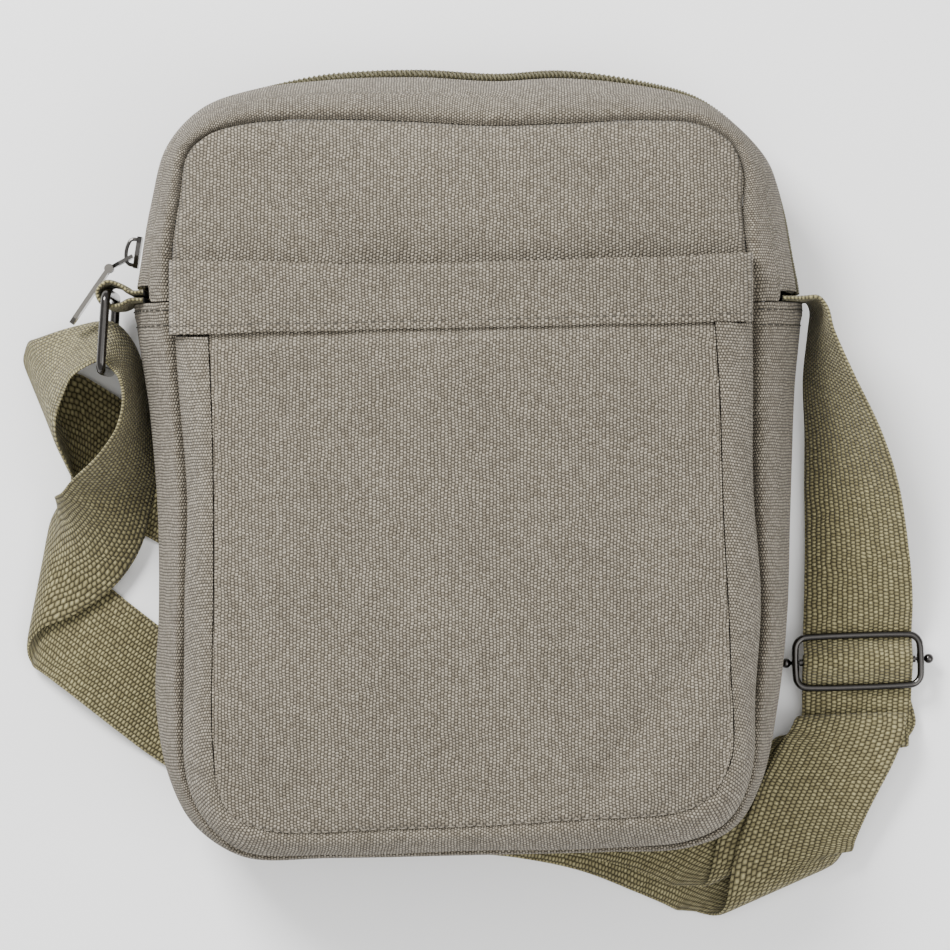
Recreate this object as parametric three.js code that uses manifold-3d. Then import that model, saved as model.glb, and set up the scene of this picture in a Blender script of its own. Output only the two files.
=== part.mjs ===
// A canvas shoulder bag lying on its back, with its webbing strap looped beside and under it.
// Millimetres. X runs across the bag, Y from its bottom to its top, Z out of its front.
// The origin is on the underside of the back panel, so the table is the plane Z = 0.

import * as THREE from 'three';
import { mergeVertices } from 'three/addons/utils/BufferGeometryUtils.js';
import Module from 'manifold-3d';

const wasm = await Module();
wasm.setup();

// Sizes of the bag
const BAG_WIDTH = 230;
const BAG_HEIGHT = 270;
const FRONT_SEAM_LEVEL = 54;
const MIDDLE_LEVEL = 28;
const BACK_SEAM_LEVEL = 4;
const BACK_INSET = 11;
const FRONT_DOME = 13;
const POCKET_RISE = 16;
const POCKET_DOME = 5;
const CANVAS = 1.5;
const SEAM_GAP = 0.3;

// Sizes of the webbing and of what it runs through
const WEBBING_WIDTH = 38;
const WEBBING = 1.8;
const LAYER_GAP = 0.5;
const RING_WIRE = 3.2;
const RING_DROP = 26;
const SLIDE_WIRE = 2.4;
const SLIDE_LENGTH = 46;
const SLIDE_HEIGHT = 20;
const SLIDE_CORNER = 4;
const BAR_WIRE = 2.4;
const BAR_BALL = 3.4;

// Sizes of the zipper
const COIL_WIDTH = 5;
const COIL_HEIGHT = 2;
const TAPE = 0.6;
const PULLER_LENGTH = 23;
const PULLER_WIDTH = 7;
const PULLER_THICK = 1.6;
const KNUCKLE = 2.4;
const RIVET_BARREL = 1.7;
const LINK_LENGTH = 8.6;
const LINK_WIDTH = 5;
const PIN_WIRE = 1.3;
const HINGE_GAP = 0.3;

const HALF_WIDTH = BAG_WIDTH / 2;
const HALF_HEIGHT = BAG_HEIGHT / 2;
const UP = new THREE.Vector3(0, 0, 1);

const canvasCloth = { color: 0x9b9285, roughness: 0.95, metalness: 0 };
const oliveWebbing = { color: 0x8a8362, roughness: 0.85, metalness: 0 };
const zipTape = { color: 0x6f6950, roughness: 0.9, metalness: 0 };
const zipCoil = { color: 0x817a5a, roughness: 0.5, metalness: 0 };
const blackNickel = { color: 0x55534f, roughness: 0.25, metalness: 1 };

const bag = new THREE.Group();

function addPiece(name, geometry, finish) {
  const piece = new THREE.Mesh(geometry, new THREE.MeshStandardMaterial(finish));
  piece.name = name;
  bag.add(piece);
  return piece;
}

// Seams of the bag
// Each row is one place round the bag: where its widest line and its front seam lie,
// as shares of half the width and half the height. Rows run clockwise from the left tab.
const AROUND = [
  { across: -1.0, along: 0.41, seamAcross: -0.87, seamAlong: 0.41 },
  { across: -0.98, along: 0.54, seamAcross: -0.876, seamAlong: 0.54 },
  { across: -0.952, along: 0.67, seamAcross: -0.855, seamAlong: 0.67 },
  { across: -0.905, along: 0.81, seamAcross: -0.83, seamAlong: 0.785 },
  { across: -0.8, along: 0.912, seamAcross: -0.765, seamAlong: 0.833 },
  { across: -0.65, along: 0.962, seamAcross: -0.65, seamAlong: 0.861 },
  { across: -0.4, along: 0.992, seamAcross: -0.4, seamAlong: 0.87 },
  { across: -0.15, along: 1.0, seamAcross: -0.15, seamAlong: 0.864 },
  { across: 0.08, along: 0.99, seamAcross: 0.06, seamAlong: 0.855 },
  { across: 0.28, along: 0.998, seamAcross: 0.28, seamAlong: 0.86 },
  { across: 0.52, along: 0.972, seamAcross: 0.52, seamAlong: 0.869 },
  { across: 0.68, along: 0.933, seamAcross: 0.685, seamAlong: 0.858 },
  { across: 0.81, along: 0.852, seamAcross: 0.775, seamAlong: 0.81 },
  { across: 0.9, along: 0.77, seamAcross: 0.81, seamAlong: 0.74 },
  { across: 0.945, along: 0.66, seamAcross: 0.808, seamAlong: 0.65 },
  { across: 0.972, along: 0.54, seamAcross: 0.818, seamAlong: 0.55 },
  { across: 0.995, along: 0.415, seamAcross: 0.834, seamAlong: 0.41 },
  { across: 0.977, along: 0.19, seamAcross: 0.834, seamAlong: 0.19 },
  { across: 0.965, along: -0.11, seamAcross: 0.84, seamAlong: -0.11 },
  { across: 0.955, along: -0.37, seamAcross: 0.858, seamAlong: -0.37 },
  { across: 0.925, along: -0.61, seamAcross: 0.836, seamAlong: -0.61 },
  { across: 0.875, along: -0.79, seamAcross: 0.815, seamAlong: -0.79 },
  { across: 0.79, along: -0.905, seamAcross: 0.76, seamAlong: -0.89 },
  { across: 0.66, along: -0.945, seamAcross: 0.64, seamAlong: -0.942 },
  { across: 0.4, along: -0.952, seamAcross: 0.4, seamAlong: -0.955 },
  { across: 0.0, along: -0.963, seamAcross: 0.0, seamAlong: -0.962 },
  { across: -0.4, along: -0.972, seamAcross: -0.4, seamAlong: -0.968 },
  { across: -0.67, along: -0.966, seamAcross: -0.66, seamAlong: -0.966 },
  { across: -0.81, along: -0.915, seamAcross: -0.765, seamAlong: -0.89 },
  { across: -0.895, along: -0.79, seamAcross: -0.824, seamAlong: -0.79 },
  { across: -0.938, along: -0.61, seamAcross: -0.838, seamAlong: -0.61 },
  { across: -0.93, along: -0.37, seamAcross: -0.832, seamAlong: -0.37 },
  { across: -0.934, along: -0.11, seamAcross: -0.826, seamAlong: -0.11 },
  { across: -0.957, along: 0.13, seamAcross: -0.844, seamAlong: 0.13 },
];
const LEFT_TAB = 0;
const TOP_LEFT = 4;
const TOP_RIGHT = 12;
const RIGHT_TAB = 16;
const BOTTOM_RIGHT = 22;
const BOTTOM_LEFT = 28;

function closedSeam(acrossName, alongName, level) {
  const points = AROUND.map((row) => new THREE.Vector3(
    row[acrossName] * HALF_WIDTH, row[alongName] * HALF_HEIGHT, level));
  return new THREE.CatmullRomCurve3(points, true, 'centripetal');
}

const middleLine = closedSeam('across', 'along', MIDDLE_LEVEL);
const frontSeam = closedSeam('seamAcross', 'seamAlong', FRONT_SEAM_LEVEL);

// The outward direction at a place on a clockwise seam, flat on the table
function outward(curve, t) {
  return new THREE.Vector3().crossVectors(UP, curve.getTangent(t)).normalize();
}

// A place on a seam, moved outwards; row counts may run past the end of the table
function onSeam(curve, row, out = 0) {
  const t = THREE.MathUtils.euclideanModulo(row / AROUND.length, 1);
  return curve.getPoint(t).addScaledVector(outward(curve, t), out);
}

function backSeamPoint(row, out = 0) {
  return onSeam(middleLine, row, out - BACK_INSET).setZ(BACK_SEAM_LEVEL);
}

// The rows that a stretch of seam moves on for a length in millimetres
function rowsFor(length, row, direction) {
  const reach = 0.2 * direction;
  const pace = onSeam(middleLine, row).distanceTo(onSeam(middleLine, row + reach)) / reach;
  return length / pace;
}

// Cloth
// A closed sheet of cloth: place(u, v) is its middle, and the wall is spread along a direction
function clothSheet(place, wall, stepsU, stepsV, direction = sheetNormal) {
  const geometry = new THREE.BoxGeometry(1, 1, 1, stepsU, stepsV, 1);
  const corners = geometry.attributes.position;
  for (let i = 0; i < corners.count; i += 1) {
    const u = corners.getX(i) + 0.5;
    const v = corners.getY(i) + 0.5;
    const point = place(u, v).addScaledVector(direction(place, u, v), corners.getZ(i) * wall);
    corners.setXYZ(i, point.x, point.y, point.z);
  }
  return closedGeometry(geometry);
}

function sheetNormal(place, u, v) {
  const nudge = 0.002;
  const alongU = place(Math.min(u + nudge, 1), v).sub(place(Math.max(u - nudge, 0), v));
  const alongV = place(u, Math.min(v + nudge, 1)).sub(place(u, Math.max(v - nudge, 0)));
  return alongU.cross(alongV).normalize();
}

const straightUp = () => UP;

// Only positions are kept, and corners that lie together become one
function closedGeometry(geometry) {
  geometry.deleteAttribute('normal');
  geometry.deleteAttribute('uv');
  const merged = mergeVertices(geometry, 0.001);
  merged.computeVertexNormals();
  return merged;
}

// A patch between four edges, each a function from 0 to 1
function patch(bottom, top, left, right, u, v) {
  const between = (a, b, share) => a.clone().lerp(b, share);
  const acrossEdges = between(bottom(u), top(u), v);
  const alongEdges = between(left(v), right(v), u);
  const corners = between(between(left(0), right(0), u), between(left(1), right(1), u), v);
  return acrossEdges.add(alongEdges).sub(corners);
}

// A panel inside a closed seam, kept off the seam by half a wall and half the gap
function seamPanel(seamPoint, u, v) {
  const inset = -(CANVAS + SEAM_GAP) / 2;
  const edge = (from, to) => (share) => seamPoint(from + (to - from) * share, inset);
  const bottom = edge(BOTTOM_LEFT, BOTTOM_RIGHT);
  const left = edge(BOTTOM_LEFT, AROUND.length + TOP_LEFT);
  return patch((s) => bottom(s), edge(TOP_LEFT, TOP_RIGHT), left, edge(BOTTOM_RIGHT, TOP_RIGHT), u, v);
}

// How far a place is from the edge of a panel: 0 on the edge and 1 in the middle
function fullness(u, v, roundness) {
  const side = 1 - Math.abs(2 * u - 1) ** roundness;
  const end = 1 - Math.abs(2 * v - 1) ** roundness;
  return side * end;
}

// Front panel: domed, fuller towards the top where no pocket presses it
function frontPanelPlace(u, v) {
  const place = seamPanel((row, out) => onSeam(frontSeam, row, out), u, v);
  const fuller = 0.72 + 0.28 * v;
  place.z += FRONT_DOME * fuller * fullness(u, v, 2.4);
  return place;
}

// Strap
// Its route, from the seam on the right to the cut end on the adjuster. Places are shares of
// half the width, half the height and the front seam's level. Turn and tilt give the line from
// one edge of the webbing to the other: its heading on the table and its rise, in degrees.
const ADJUSTER = { across: 1.183, along: -0.506, turn: 1.9 };
const LEAST_SQUARE = 0.8;
const SECTION_TURN = 0.5;
const SECTION_RUN = 18;
const LIFT_FULL = 1.3;
const LIFT_NONE = 2.7;
const FROM_RIGHT_SEAM = [
  { across: 0.93, along: 0.4237, level: 0.53, turn: 0, tilt: 90 },
  { across: 0.995, along: 0.4237, level: 0.53, turn: 0, tilt: 90 },
  { across: 1.03, along: 0.425, level: 0.53, turn: 0, tilt: 88 },
  { across: 1.05, along: 0.4, level: 0.524, turn: 0, tilt: 86 },
  { across: 1.056, along: 0.348, level: 0.51, turn: 0, tilt: 82 },
  { across: 1.08, along: 0.235, level: 0.465, turn: 0, tilt: 68 },
  { across: 1.13, along: 0.083, level: 0.345, turn: 0, tilt: 50 },
  { across: 1.16, along: -0.057, level: 0.245, turn: 0, tilt: 34 },
  { across: 1.178, along: -0.222, level: 0.19, turn: 0, tilt: 22 },
  { across: 1.184, along: -0.35, level: 0.152, turn: 1, tilt: 9 },
];
const PLEAT_TO_CORNER = [
  { across: 1.147, along: -0.69, level: 0.215, turn: -3, tilt: 0 },
  { across: 1.112, along: -0.752, level: 0.211, turn: -13, tilt: 0 },
  { across: 1.057, along: -0.845, level: 0.199, turn: -19, tilt: 0 },
  { across: 1.012, along: -0.94, level: 0.178, turn: -10, tilt: 0 },
  { across: 0.983, along: -1.02, level: 0.162, turn: 8, tilt: 0 },
  { across: 0.965, along: -1.056, level: 0.157, turn: 22, tilt: 0 },
  { across: 0.95, along: -1.083, level: 0.138, turn: 24, tilt: 0 },
  { across: 0.93, along: -1.099, level: 0.09, turn: 24, tilt: 0 },
  { across: 0.903, along: -1.101, level: 0.042, turn: 24, tilt: 0 },
  { across: 0.868, along: -1.092, level: 0.0225, turn: 25, tilt: 0 },
  { across: 0.8, along: -1.061, level: 0.0215, turn: 38, tilt: 0 },
];
const FIRST_UNDER_BAG = [
  { across: 0.713, along: -1.03, level: 0.0215, turn: 58, tilt: 0 },
  { across: 0.578, along: -0.981, level: 0.0215, turn: 68, tilt: 0 },
  { across: 0.387, along: -0.919, level: 0.0215, turn: 74, tilt: 0 },
  { across: 0.17, along: -0.881, level: 0.0215, turn: 78, tilt: 0 },
  { across: -0.09, along: -0.859, level: 0.0215, turn: 77, tilt: 0 },
  { across: -0.5, along: -0.79, level: 0.0215, turn: 65, tilt: 0 },
  { across: -0.78, along: -0.69, level: 0.023, turn: 55, tilt: 0 },
  { across: -0.887, along: -0.633, level: 0.035, turn: 52, tilt: -2 },
  { across: -0.948, along: -0.593, level: 0.054, turn: 51, tilt: -5 },
];
const FOLD_AND_RING = [
  { across: -1.026, along: -0.541, level: 0.07, turn: 51, tilt: -8 },
  { across: -1.104, along: -0.489, level: 0.078, turn: 52, tilt: -9 },
  { across: -1.174, along: -0.443, level: 0.07, turn: 55, tilt: -8 },
  { across: -1.243, along: -0.396, level: 0.056, turn: 64, tilt: -5 },
  { across: -1.291, along: -0.356, level: 0.052, turn: 76, tilt: -2 },
  { across: -1.306, along: -0.307, level: 0.111, turn: 79, tilt: 0 },
  { across: -1.27, along: -0.259, level: 0.167, turn: 82, tilt: 4 },
  { across: -1.226, along: -0.233, level: 0.194, turn: 98, tilt: 10 },
  { across: -1.165, along: -0.196, level: 0.24, turn: 122, tilt: 22 },
  { across: -1.109, along: -0.133, level: 0.315, turn: 148, tilt: 36 },
  { across: -1.074, along: -0.063, level: 0.37, turn: 164, tilt: 46 },
  { across: -1.022, along: 0.011, level: 0.455, turn: 168, tilt: 60 },
  { across: -1.0, along: 0.089, level: 0.5, turn: 172, tilt: 74 },
  { across: -0.997, along: 0.163, level: 0.51, turn: 180, tilt: 80 },
  { across: -1.015, along: 0.242, level: 0.528, turn: 226, tilt: 79 },
  { across: -1.045, along: 0.288, level: 0.53, turn: 252, tilt: 72 },
  { across: -1.085, along: 0.318, level: 0.535, turn: 266, tilt: 68 },
  { across: -1.19, along: 0.295, level: 0.5, turn: 284, tilt: 63 },
  { across: -1.255, along: 0.262, level: 0.455, turn: 303, tilt: 57 },
  { across: -1.29, along: 0.227, level: 0.324, turn: 297, tilt: 46 },
  { across: -1.299, along: 0.184, level: 0.24, turn: 293, tilt: 35 },
  { across: -1.283, along: 0.131, level: 0.154, turn: 294, tilt: 19 },
  { across: -1.253, along: 0.104, level: 0.07, turn: 287, tilt: 6 },
  { across: -1.2, along: 0.081, level: 0.0445, turn: 264, tilt: 1 },
  { across: -1.113, along: 0.033, level: 0.041, turn: 248, tilt: 0 },
];
const SECOND_UNDER_BAG = [
  { across: -1.009, along: -0.015, level: 0.035, turn: 245, tilt: 0 },
  { across: -0.85, along: -0.088, level: 0.0215, turn: 242, tilt: 0 },
  { across: -0.5, along: -0.31, level: 0.0215, turn: 231, tilt: 0 },
  { across: -0.17, along: -0.62, level: 0.0225, turn: 232, tilt: 0 },
  { across: -0.03, along: -0.745, level: 0.04, turn: 240, tilt: 0 },
  { across: 0.07, along: -0.81, level: 0.064, turn: 246, tilt: 0 },
  { across: 0.22, along: -0.855, level: 0.068, turn: 255, tilt: 0 },
  { across: 0.42, along: -0.885, level: 0.068, turn: 253, tilt: 0 },
  { across: 0.6, along: -0.93, level: 0.068, turn: 240, tilt: 0 },
  { across: 0.745, along: -0.985, level: 0.068, turn: 222, tilt: 0 },
];
const BACK_TO_ADJUSTER = [
  { across: 0.83, along: -1.017, level: 0.068, turn: 207, tilt: 0 },
  { across: 0.865, along: -1.026, level: 0.075, turn: 204, tilt: 0 },
  { across: 0.885, along: -1.025, level: 0.092, turn: 204, tilt: 0 },
  { across: 0.9, along: -1.013, level: 0.109, turn: 204, tilt: 0 },
  { across: 0.92, along: -0.99, level: 0.114, turn: 200, tilt: 0 },
  { across: 0.962, along: -0.925, level: 0.116, turn: 180, tilt: 0 },
  { across: 1.02, along: -0.84, level: 0.105, turn: 162, tilt: 0 },
  { across: 1.08, along: -0.77, level: 0.075, turn: 168, tilt: 0 },
  { across: 1.125, along: -0.72, level: 0.062, turn: 175, tilt: 0 },
];

const ADJUSTER_PLACE = new THREE.Vector3(
  ADJUSTER.across * HALF_WIDTH, ADJUSTER.along * HALF_HEIGHT, 0);
const RAIL_REACH = (SLIDE_HEIGHT - SLIDE_WIRE) / 2;
const LAYER = WEBBING + LAYER_GAP;
const CUT_END_LEVEL = 1.5;
const BAR_LEVEL = CUT_END_LEVEL + LAYER * 0.85 + BAR_WIRE / 2 + WEBBING / 2 + SEAM_GAP;
const WRAP_RADIUS = BAR_WIRE / 2 + SEAM_GAP * 1.3 + WEBBING / 2;
const OVER_WRAP = BAR_LEVEL + WRAP_RADIUS + LAYER;
const UNDER_RAIL = CUT_END_LEVEL + 2 * LAYER;
const SLIDE_LEVEL = UNDER_RAIL + WEBBING / 2 + SEAM_GAP + SLIDE_WIRE / 2 + 0.2;
const PLEAT_RADIUS = LAYER / 2;

// A place on the strap near the adjuster, measured from the adjuster's middle
function nearAdjuster(aside, along, level, turn = ADJUSTER.turn) {
  return { aside, beside: along, height: level, turn, tilt: 0 };
}

// Under the top rail, over the bar and under the bottom rail, then folded in three
function throughAdjuster() {
  const pleatBottom = -RAIL_REACH - WEBBING * 11.2;
  const pleatTop = -RAIL_REACH - WEBBING * 6.4;
  const low = UNDER_RAIL - WEBBING * 0.35;
  const middle = low + 2 * PLEAT_RADIUS;
  const high = middle + 2 * PLEAT_RADIUS + SEAM_GAP;
  return [
    nearAdjuster(0, RAIL_REACH, UNDER_RAIL),
    nearAdjuster(0, 0, OVER_WRAP),
    nearAdjuster(0, -RAIL_REACH, UNDER_RAIL),
    nearAdjuster(-0.5, pleatTop, low),
    nearAdjuster(-1, pleatBottom, low),
    nearAdjuster(-1.2, pleatBottom - PLEAT_RADIUS, (low + middle) / 2),
    nearAdjuster(-1.4, pleatBottom, middle),
    nearAdjuster(-2, pleatTop - WEBBING, middle),
    nearAdjuster(-2.3, pleatTop, middle + SEAM_GAP),
    nearAdjuster(-2.5, pleatTop + PLEAT_RADIUS, (middle + high) / 2),
    nearAdjuster(-2.8, pleatTop, high, 0),
  ];
}

// The other end comes back under the bottom rail, wraps the bar and ends below itself
function roundTheBar() {
  const flat = 180 + ADJUSTER.turn;
  const points = [
    nearAdjuster(0, -RAIL_REACH - WEBBING * 8, CUT_END_LEVEL + 0.9 * LAYER, flat),
    nearAdjuster(0, -RAIL_REACH - WEBBING * 2.5, CUT_END_LEVEL + 0.96 * LAYER, flat),
    nearAdjuster(0, -RAIL_REACH, CUT_END_LEVEL + 0.99 * LAYER, flat),
  ];
  for (let angle = 115; angle >= -90; angle -= 41) {
    const bend = THREE.MathUtils.degToRad(angle);
    points.push(nearAdjuster(
      0, WRAP_RADIUS * Math.cos(bend), BAR_LEVEL + WRAP_RADIUS * Math.sin(bend), flat));
  }
  points.push(nearAdjuster(0, -RAIL_REACH, CUT_END_LEVEL, flat));
  points.push(nearAdjuster(0, -RAIL_REACH - WEBBING * 4, CUT_END_LEVEL, flat));
  return points;
}

function strapStation(row) {
  const besideAdjuster = row.beside !== undefined;
  const middle = besideAdjuster
    ? new THREE.Vector3(ADJUSTER_PLACE.x + row.aside, ADJUSTER_PLACE.y + row.beside, row.height)
    : new THREE.Vector3(row.across * HALF_WIDTH, row.along * HALF_HEIGHT, row.level * FRONT_SEAM_LEVEL);
  const turn = THREE.MathUtils.degToRad(row.turn);
  const tilt = THREE.MathUtils.degToRad(row.tilt);
  const width = new THREE.Vector3(
    Math.cos(turn) * Math.cos(tilt), Math.sin(turn) * Math.cos(tilt), Math.sin(tilt));
  return { middle, width };
}

const strapStations = [
  ...FROM_RIGHT_SEAM, ...throughAdjuster(), ...PLEAT_TO_CORNER, ...FIRST_UNDER_BAG,
  ...FOLD_AND_RING, ...SECOND_UNDER_BAG, ...BACK_TO_ADJUSTER, ...roundTheBar(),
].map(strapStation);
const strapMiddle = new THREE.CatmullRomCurve3(
  strapStations.map((station) => station.middle), false, 'centripetal');
const strapWidths = new THREE.CatmullRomCurve3(
  strapStations.map((station) => station.width), false, 'centripetal');

// The webbing's edge-to-edge line keeps the true width however it is slanted to the run
function strapSection(t) {
  const width = strapWidths.getPoint(t).normalize();
  const tangent = strapMiddle.getTangent(t);
  const square = Math.max(width.clone().cross(tangent).length(), LEAST_SQUARE);
  return { middle: strapMiddle.getPoint(t), width, tangent, reach: WEBBING_WIDTH / square };
}

// Sections of the strap: one at each station, with more between where it bends or runs far
function strapSections() {
  const last = strapStations.length - 1;
  const chosen = [strapSection(0)];
  for (let i = 1; i <= last; i += 1) {
    const from = strapSection((i - 1) / last);
    const to = strapSection(i / last);
    const bent = Math.max(from.tangent.angleTo(to.tangent), from.width.angleTo(to.width));
    const run = from.middle.distanceTo(to.middle);
    const steps = Math.max(1, Math.ceil(bent / SECTION_TURN), Math.ceil(run / SECTION_RUN));
    for (let j = 1; j <= steps; j += 1) chosen.push(strapSection((i - 1 + j / steps) / last));
  }
  return chosen;
}

function strapGeometry() {
  const sections = strapSections();
  const place = (u, v) => {
    const section = sections[Math.round(u * (sections.length - 1))];
    return section.middle.clone().addScaledVector(section.width, (v - 0.5) * section.reach);
  };
  const thick = (unused, u) => {
    const section = sections[Math.round(u * (sections.length - 1))];
    return section.tangent.clone().cross(section.width).normalize();
  };
  return clothSheet(place, WEBBING, sections.length - 1, 2, thick);
}

// How far a place on the table is from the line through a stretch of the strap's stations
function distanceToStretch(rows, x, y) {
  const here = new THREE.Vector3(x, y, 0);
  const corners = rows.map((row) => strapStation(row).middle.setZ(0));
  let nearest = Infinity;
  for (let i = 1; i < corners.length; i += 1) {
    const stretch = new THREE.Line3(corners[i - 1], corners[i]);
    const closest = stretch.closestPointToPoint(here, true, new THREE.Vector3());
    nearest = Math.min(nearest, closest.distanceTo(here));
  }
  return nearest;
}

// How much the stretches of strap under the bag lift its back panel
function liftByStrap(x, y) {
  const edge = WEBBING_WIDTH / 2;
  const share = (rows) => 1 - THREE.MathUtils.smoothstep(
    distanceToStretch(rows, x, y), edge * LIFT_FULL, edge * LIFT_NONE);
  return (WEBBING + LAYER_GAP + SEAM_GAP) * (share(FIRST_UNDER_BAG) + share(SECOND_UNDER_BAG));
}

// Back panel: flat on the table, turned up at its seam and lifted where the strap runs under it
function backPanelPlace(u, v) {
  const place = seamPanel(backSeamPoint, u, v);
  const flat = THREE.MathUtils.smoothstep(fullness(u, v, 2), 0, 0.3);
  const lift = liftByStrap(place.x, place.y);
  place.z = CANVAS / 2 + (BACK_SEAM_LEVEL - CANVAS / 2) * (1 - flat) + lift;
  return place;
}

// The side wall: from the back seam out over the middle line and in to the front seam
function gussetPlace(row, v) {
  const out = (CANVAS + SEAM_GAP) / 2;
  const back = backSeamPoint(row, out);
  back.z += liftByStrap(back.x, back.y);
  const front = onSeam(frontSeam, row, out);
  const middle = onSeam(middleLine, row, -CANVAS / 2);
  const chord = back.clone().lerp(front, 0.5);
  const bulge = Math.sin(Math.PI * v);
  const share = (1 - Math.cos(Math.PI * v)) / 2;
  return back.lerp(front, share).addScaledVector(middle.sub(chord), bulge);
}

// Slots in the seams at the two tabs, as wide as the webbing that passes through them
const LEFT_SLOT = 2 * WEBBING + 8 * SEAM_GAP;
const RIGHT_SLOT = WEBBING + 6 * SEAM_GAP;
const ZIP_FROM = LEFT_TAB + rowsFor(LEFT_SLOT, LEFT_TAB, 1);
const ZIP_TO = RIGHT_TAB + rowsFor(RIGHT_SLOT, RIGHT_TAB, -1);

function stripBetween(rowFrom, rowTo, shareFrom, shareTo, inward = 0) {
  return (u, v) => {
    const row = rowFrom + (rowTo - rowFrom) * u;
    const across = (share) => shareFrom + (shareTo - shareFrom) * share;
    const place = gussetPlace(row, across(v));
    if (inward === 0) return place;
    const side = gussetPlace(row, across(v) - 0.02).sub(gussetPlace(row, across(v) + 0.02));
    const run = gussetPlace(row - 0.05, across(v)).sub(gussetPlace(row + 0.05, across(v)));
    return place.addScaledVector(side.cross(run).normalize(), inward);
  };
}

// Shares of the way across the side wall where the zipper's strips, tapes and coil lie
const SIDE_WALK = 61;
const COIL_HALF = COIL_WIDTH / 2 / SIDE_WALK;
const STRIP_EDGE = 0.5 - COIL_HALF - 0.05;
const TAPE_REACH = STRIP_EDGE - 0.06;
const TAPE_DEPTH = -(CANVAS / 2 + SEAM_GAP + TAPE / 2);

function addBody() {
  addPiece('front_panel', clothSheet(frontPanelPlace, CANVAS, 14, 16, straightUp), canvasCloth);
  addPiece('back_panel', clothSheet(backPanelPlace, CANVAS, 14, 16, straightUp), canvasCloth);
  const aroundBottom = stripBetween(AROUND.length + LEFT_TAB, RIGHT_TAB, 0, 1);
  addPiece('body_gusset', clothSheet(aroundBottom, CANVAS, 42, 6), canvasCloth);
  const backStrip = stripBetween(ZIP_TO, ZIP_FROM, 0, STRIP_EDGE);
  addPiece('zip_strip_back', clothSheet(backStrip, CANVAS, 28, 4), canvasCloth);
  const frontStrip = stripBetween(ZIP_TO, ZIP_FROM, 1 - STRIP_EDGE, 1);
  addPiece('zip_strip_front', clothSheet(frontStrip, CANVAS, 28, 4), canvasCloth);
}

function addZipper() {
  const seamGapShare = SEAM_GAP / SIDE_WALK;
  const backTape = stripBetween(ZIP_TO, ZIP_FROM, TAPE_REACH, 0.5 - seamGapShare / 2, TAPE_DEPTH);
  addPiece('zipper_tape_back', clothSheet(backTape, TAPE, 28, 1), zipTape);
  const frontTape = stripBetween(ZIP_TO, ZIP_FROM, 0.5 + seamGapShare / 2, 1 - TAPE_REACH, TAPE_DEPTH);
  addPiece('zipper_tape_front', clothSheet(frontTape, TAPE, 28, 1), zipTape);
  const coilDepth = TAPE_DEPTH + TAPE / 2 + SEAM_GAP + COIL_HEIGHT / 2;
  const coil = stripBetween(ZIP_TO, ZIP_FROM, 0.5 - COIL_HALF, 0.5 + COIL_HALF, coilDepth);
  addPiece('zipper_coil', clothSheet(coil, COIL_HEIGHT, 28, 2), zipCoil);
}

// Pocket
// Its face seam, as shares of half the width and half the height, from the left end of the
// band round the bottom to the right end of the band.
const POCKET_SEAM = [
  { across: -0.757, along: 0.32 },
  { across: -0.745, along: 0.06 },
  { across: -0.742, along: -0.3 },
  { across: -0.744, along: -0.7 },
  { across: -0.715, along: -0.84 },
  { across: -0.615, along: -0.9 },
  { across: -0.2, along: -0.902 },
  { across: 0.29, along: -0.881 },
  { across: 0.66, along: -0.845 },
  { across: 0.758, along: -0.745 },
  { across: 0.762, along: -0.5 },
  { across: 0.74, along: -0.1 },
  { across: 0.73, along: 0.18 },
  { across: 0.716, along: 0.355 },
];
const POCKET_BOTTOM_LEFT = 4.4 / (POCKET_SEAM.length - 1);
const POCKET_BOTTOM_RIGHT = 8.4 / (POCKET_SEAM.length - 1);
const POCKET_LEVEL = FRONT_SEAM_LEVEL + POCKET_RISE;
const DOME_ROUNDNESS = 2.6;

const pocketSeam = new THREE.CatmullRomCurve3(POCKET_SEAM.map((row) => new THREE.Vector3(
  row.across * HALF_WIDTH, row.along * HALF_HEIGHT, POCKET_LEVEL)), false, 'centripetal');

function pocketSeamPoint(t, out) {
  const tangent = pocketSeam.getTangent(t);
  const away = new THREE.Vector3().crossVectors(tangent, UP).normalize();
  return pocketSeam.getPoint(t).addScaledVector(away, out);
}

function pocketFacePlace(u, v) {
  const inset = -(CANVAS + SEAM_GAP) / 2;
  const edge = (from, to) => (share) => pocketSeamPoint(from + (to - from) * share, inset);
  const topEdge = (share) => pocketSeamPoint(0, inset).lerp(pocketSeamPoint(1, inset), share);
  const place = patch(
    edge(POCKET_BOTTOM_LEFT, POCKET_BOTTOM_RIGHT), topEdge,
    edge(POCKET_BOTTOM_LEFT, 0), edge(POCKET_BOTTOM_RIGHT, 1), u, v);
  const rise = (1 - Math.abs(2 * u - 1) ** DOME_ROUNDNESS) * (1 - (1 - v) ** 3);
  place.z += POCKET_DOME * rise;
  return place;
}

// The pocket's side wall: from just inside the front seam up to the pocket's own seam
const POCKET_FOOT_LEFT = AROUND.length - 0.32;
const POCKET_FOOT_RIGHT = RIGHT_TAB + 0.27;
const POCKET_BULGE = 4.2;
const FOOT_STEPS = 48;

function pocketFoot(share) {
  const row = POCKET_FOOT_LEFT + (POCKET_FOOT_RIGHT - POCKET_FOOT_LEFT) * share;
  return onSeam(frontSeam, row, -CANVAS * 1.6);
}

const footLine = new THREE.CatmullRomCurve3(
  Array.from({ length: FOOT_STEPS + 1 }, (unused, i) => pocketFoot(i / FOOT_STEPS)), false, 'centripetal');

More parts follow.
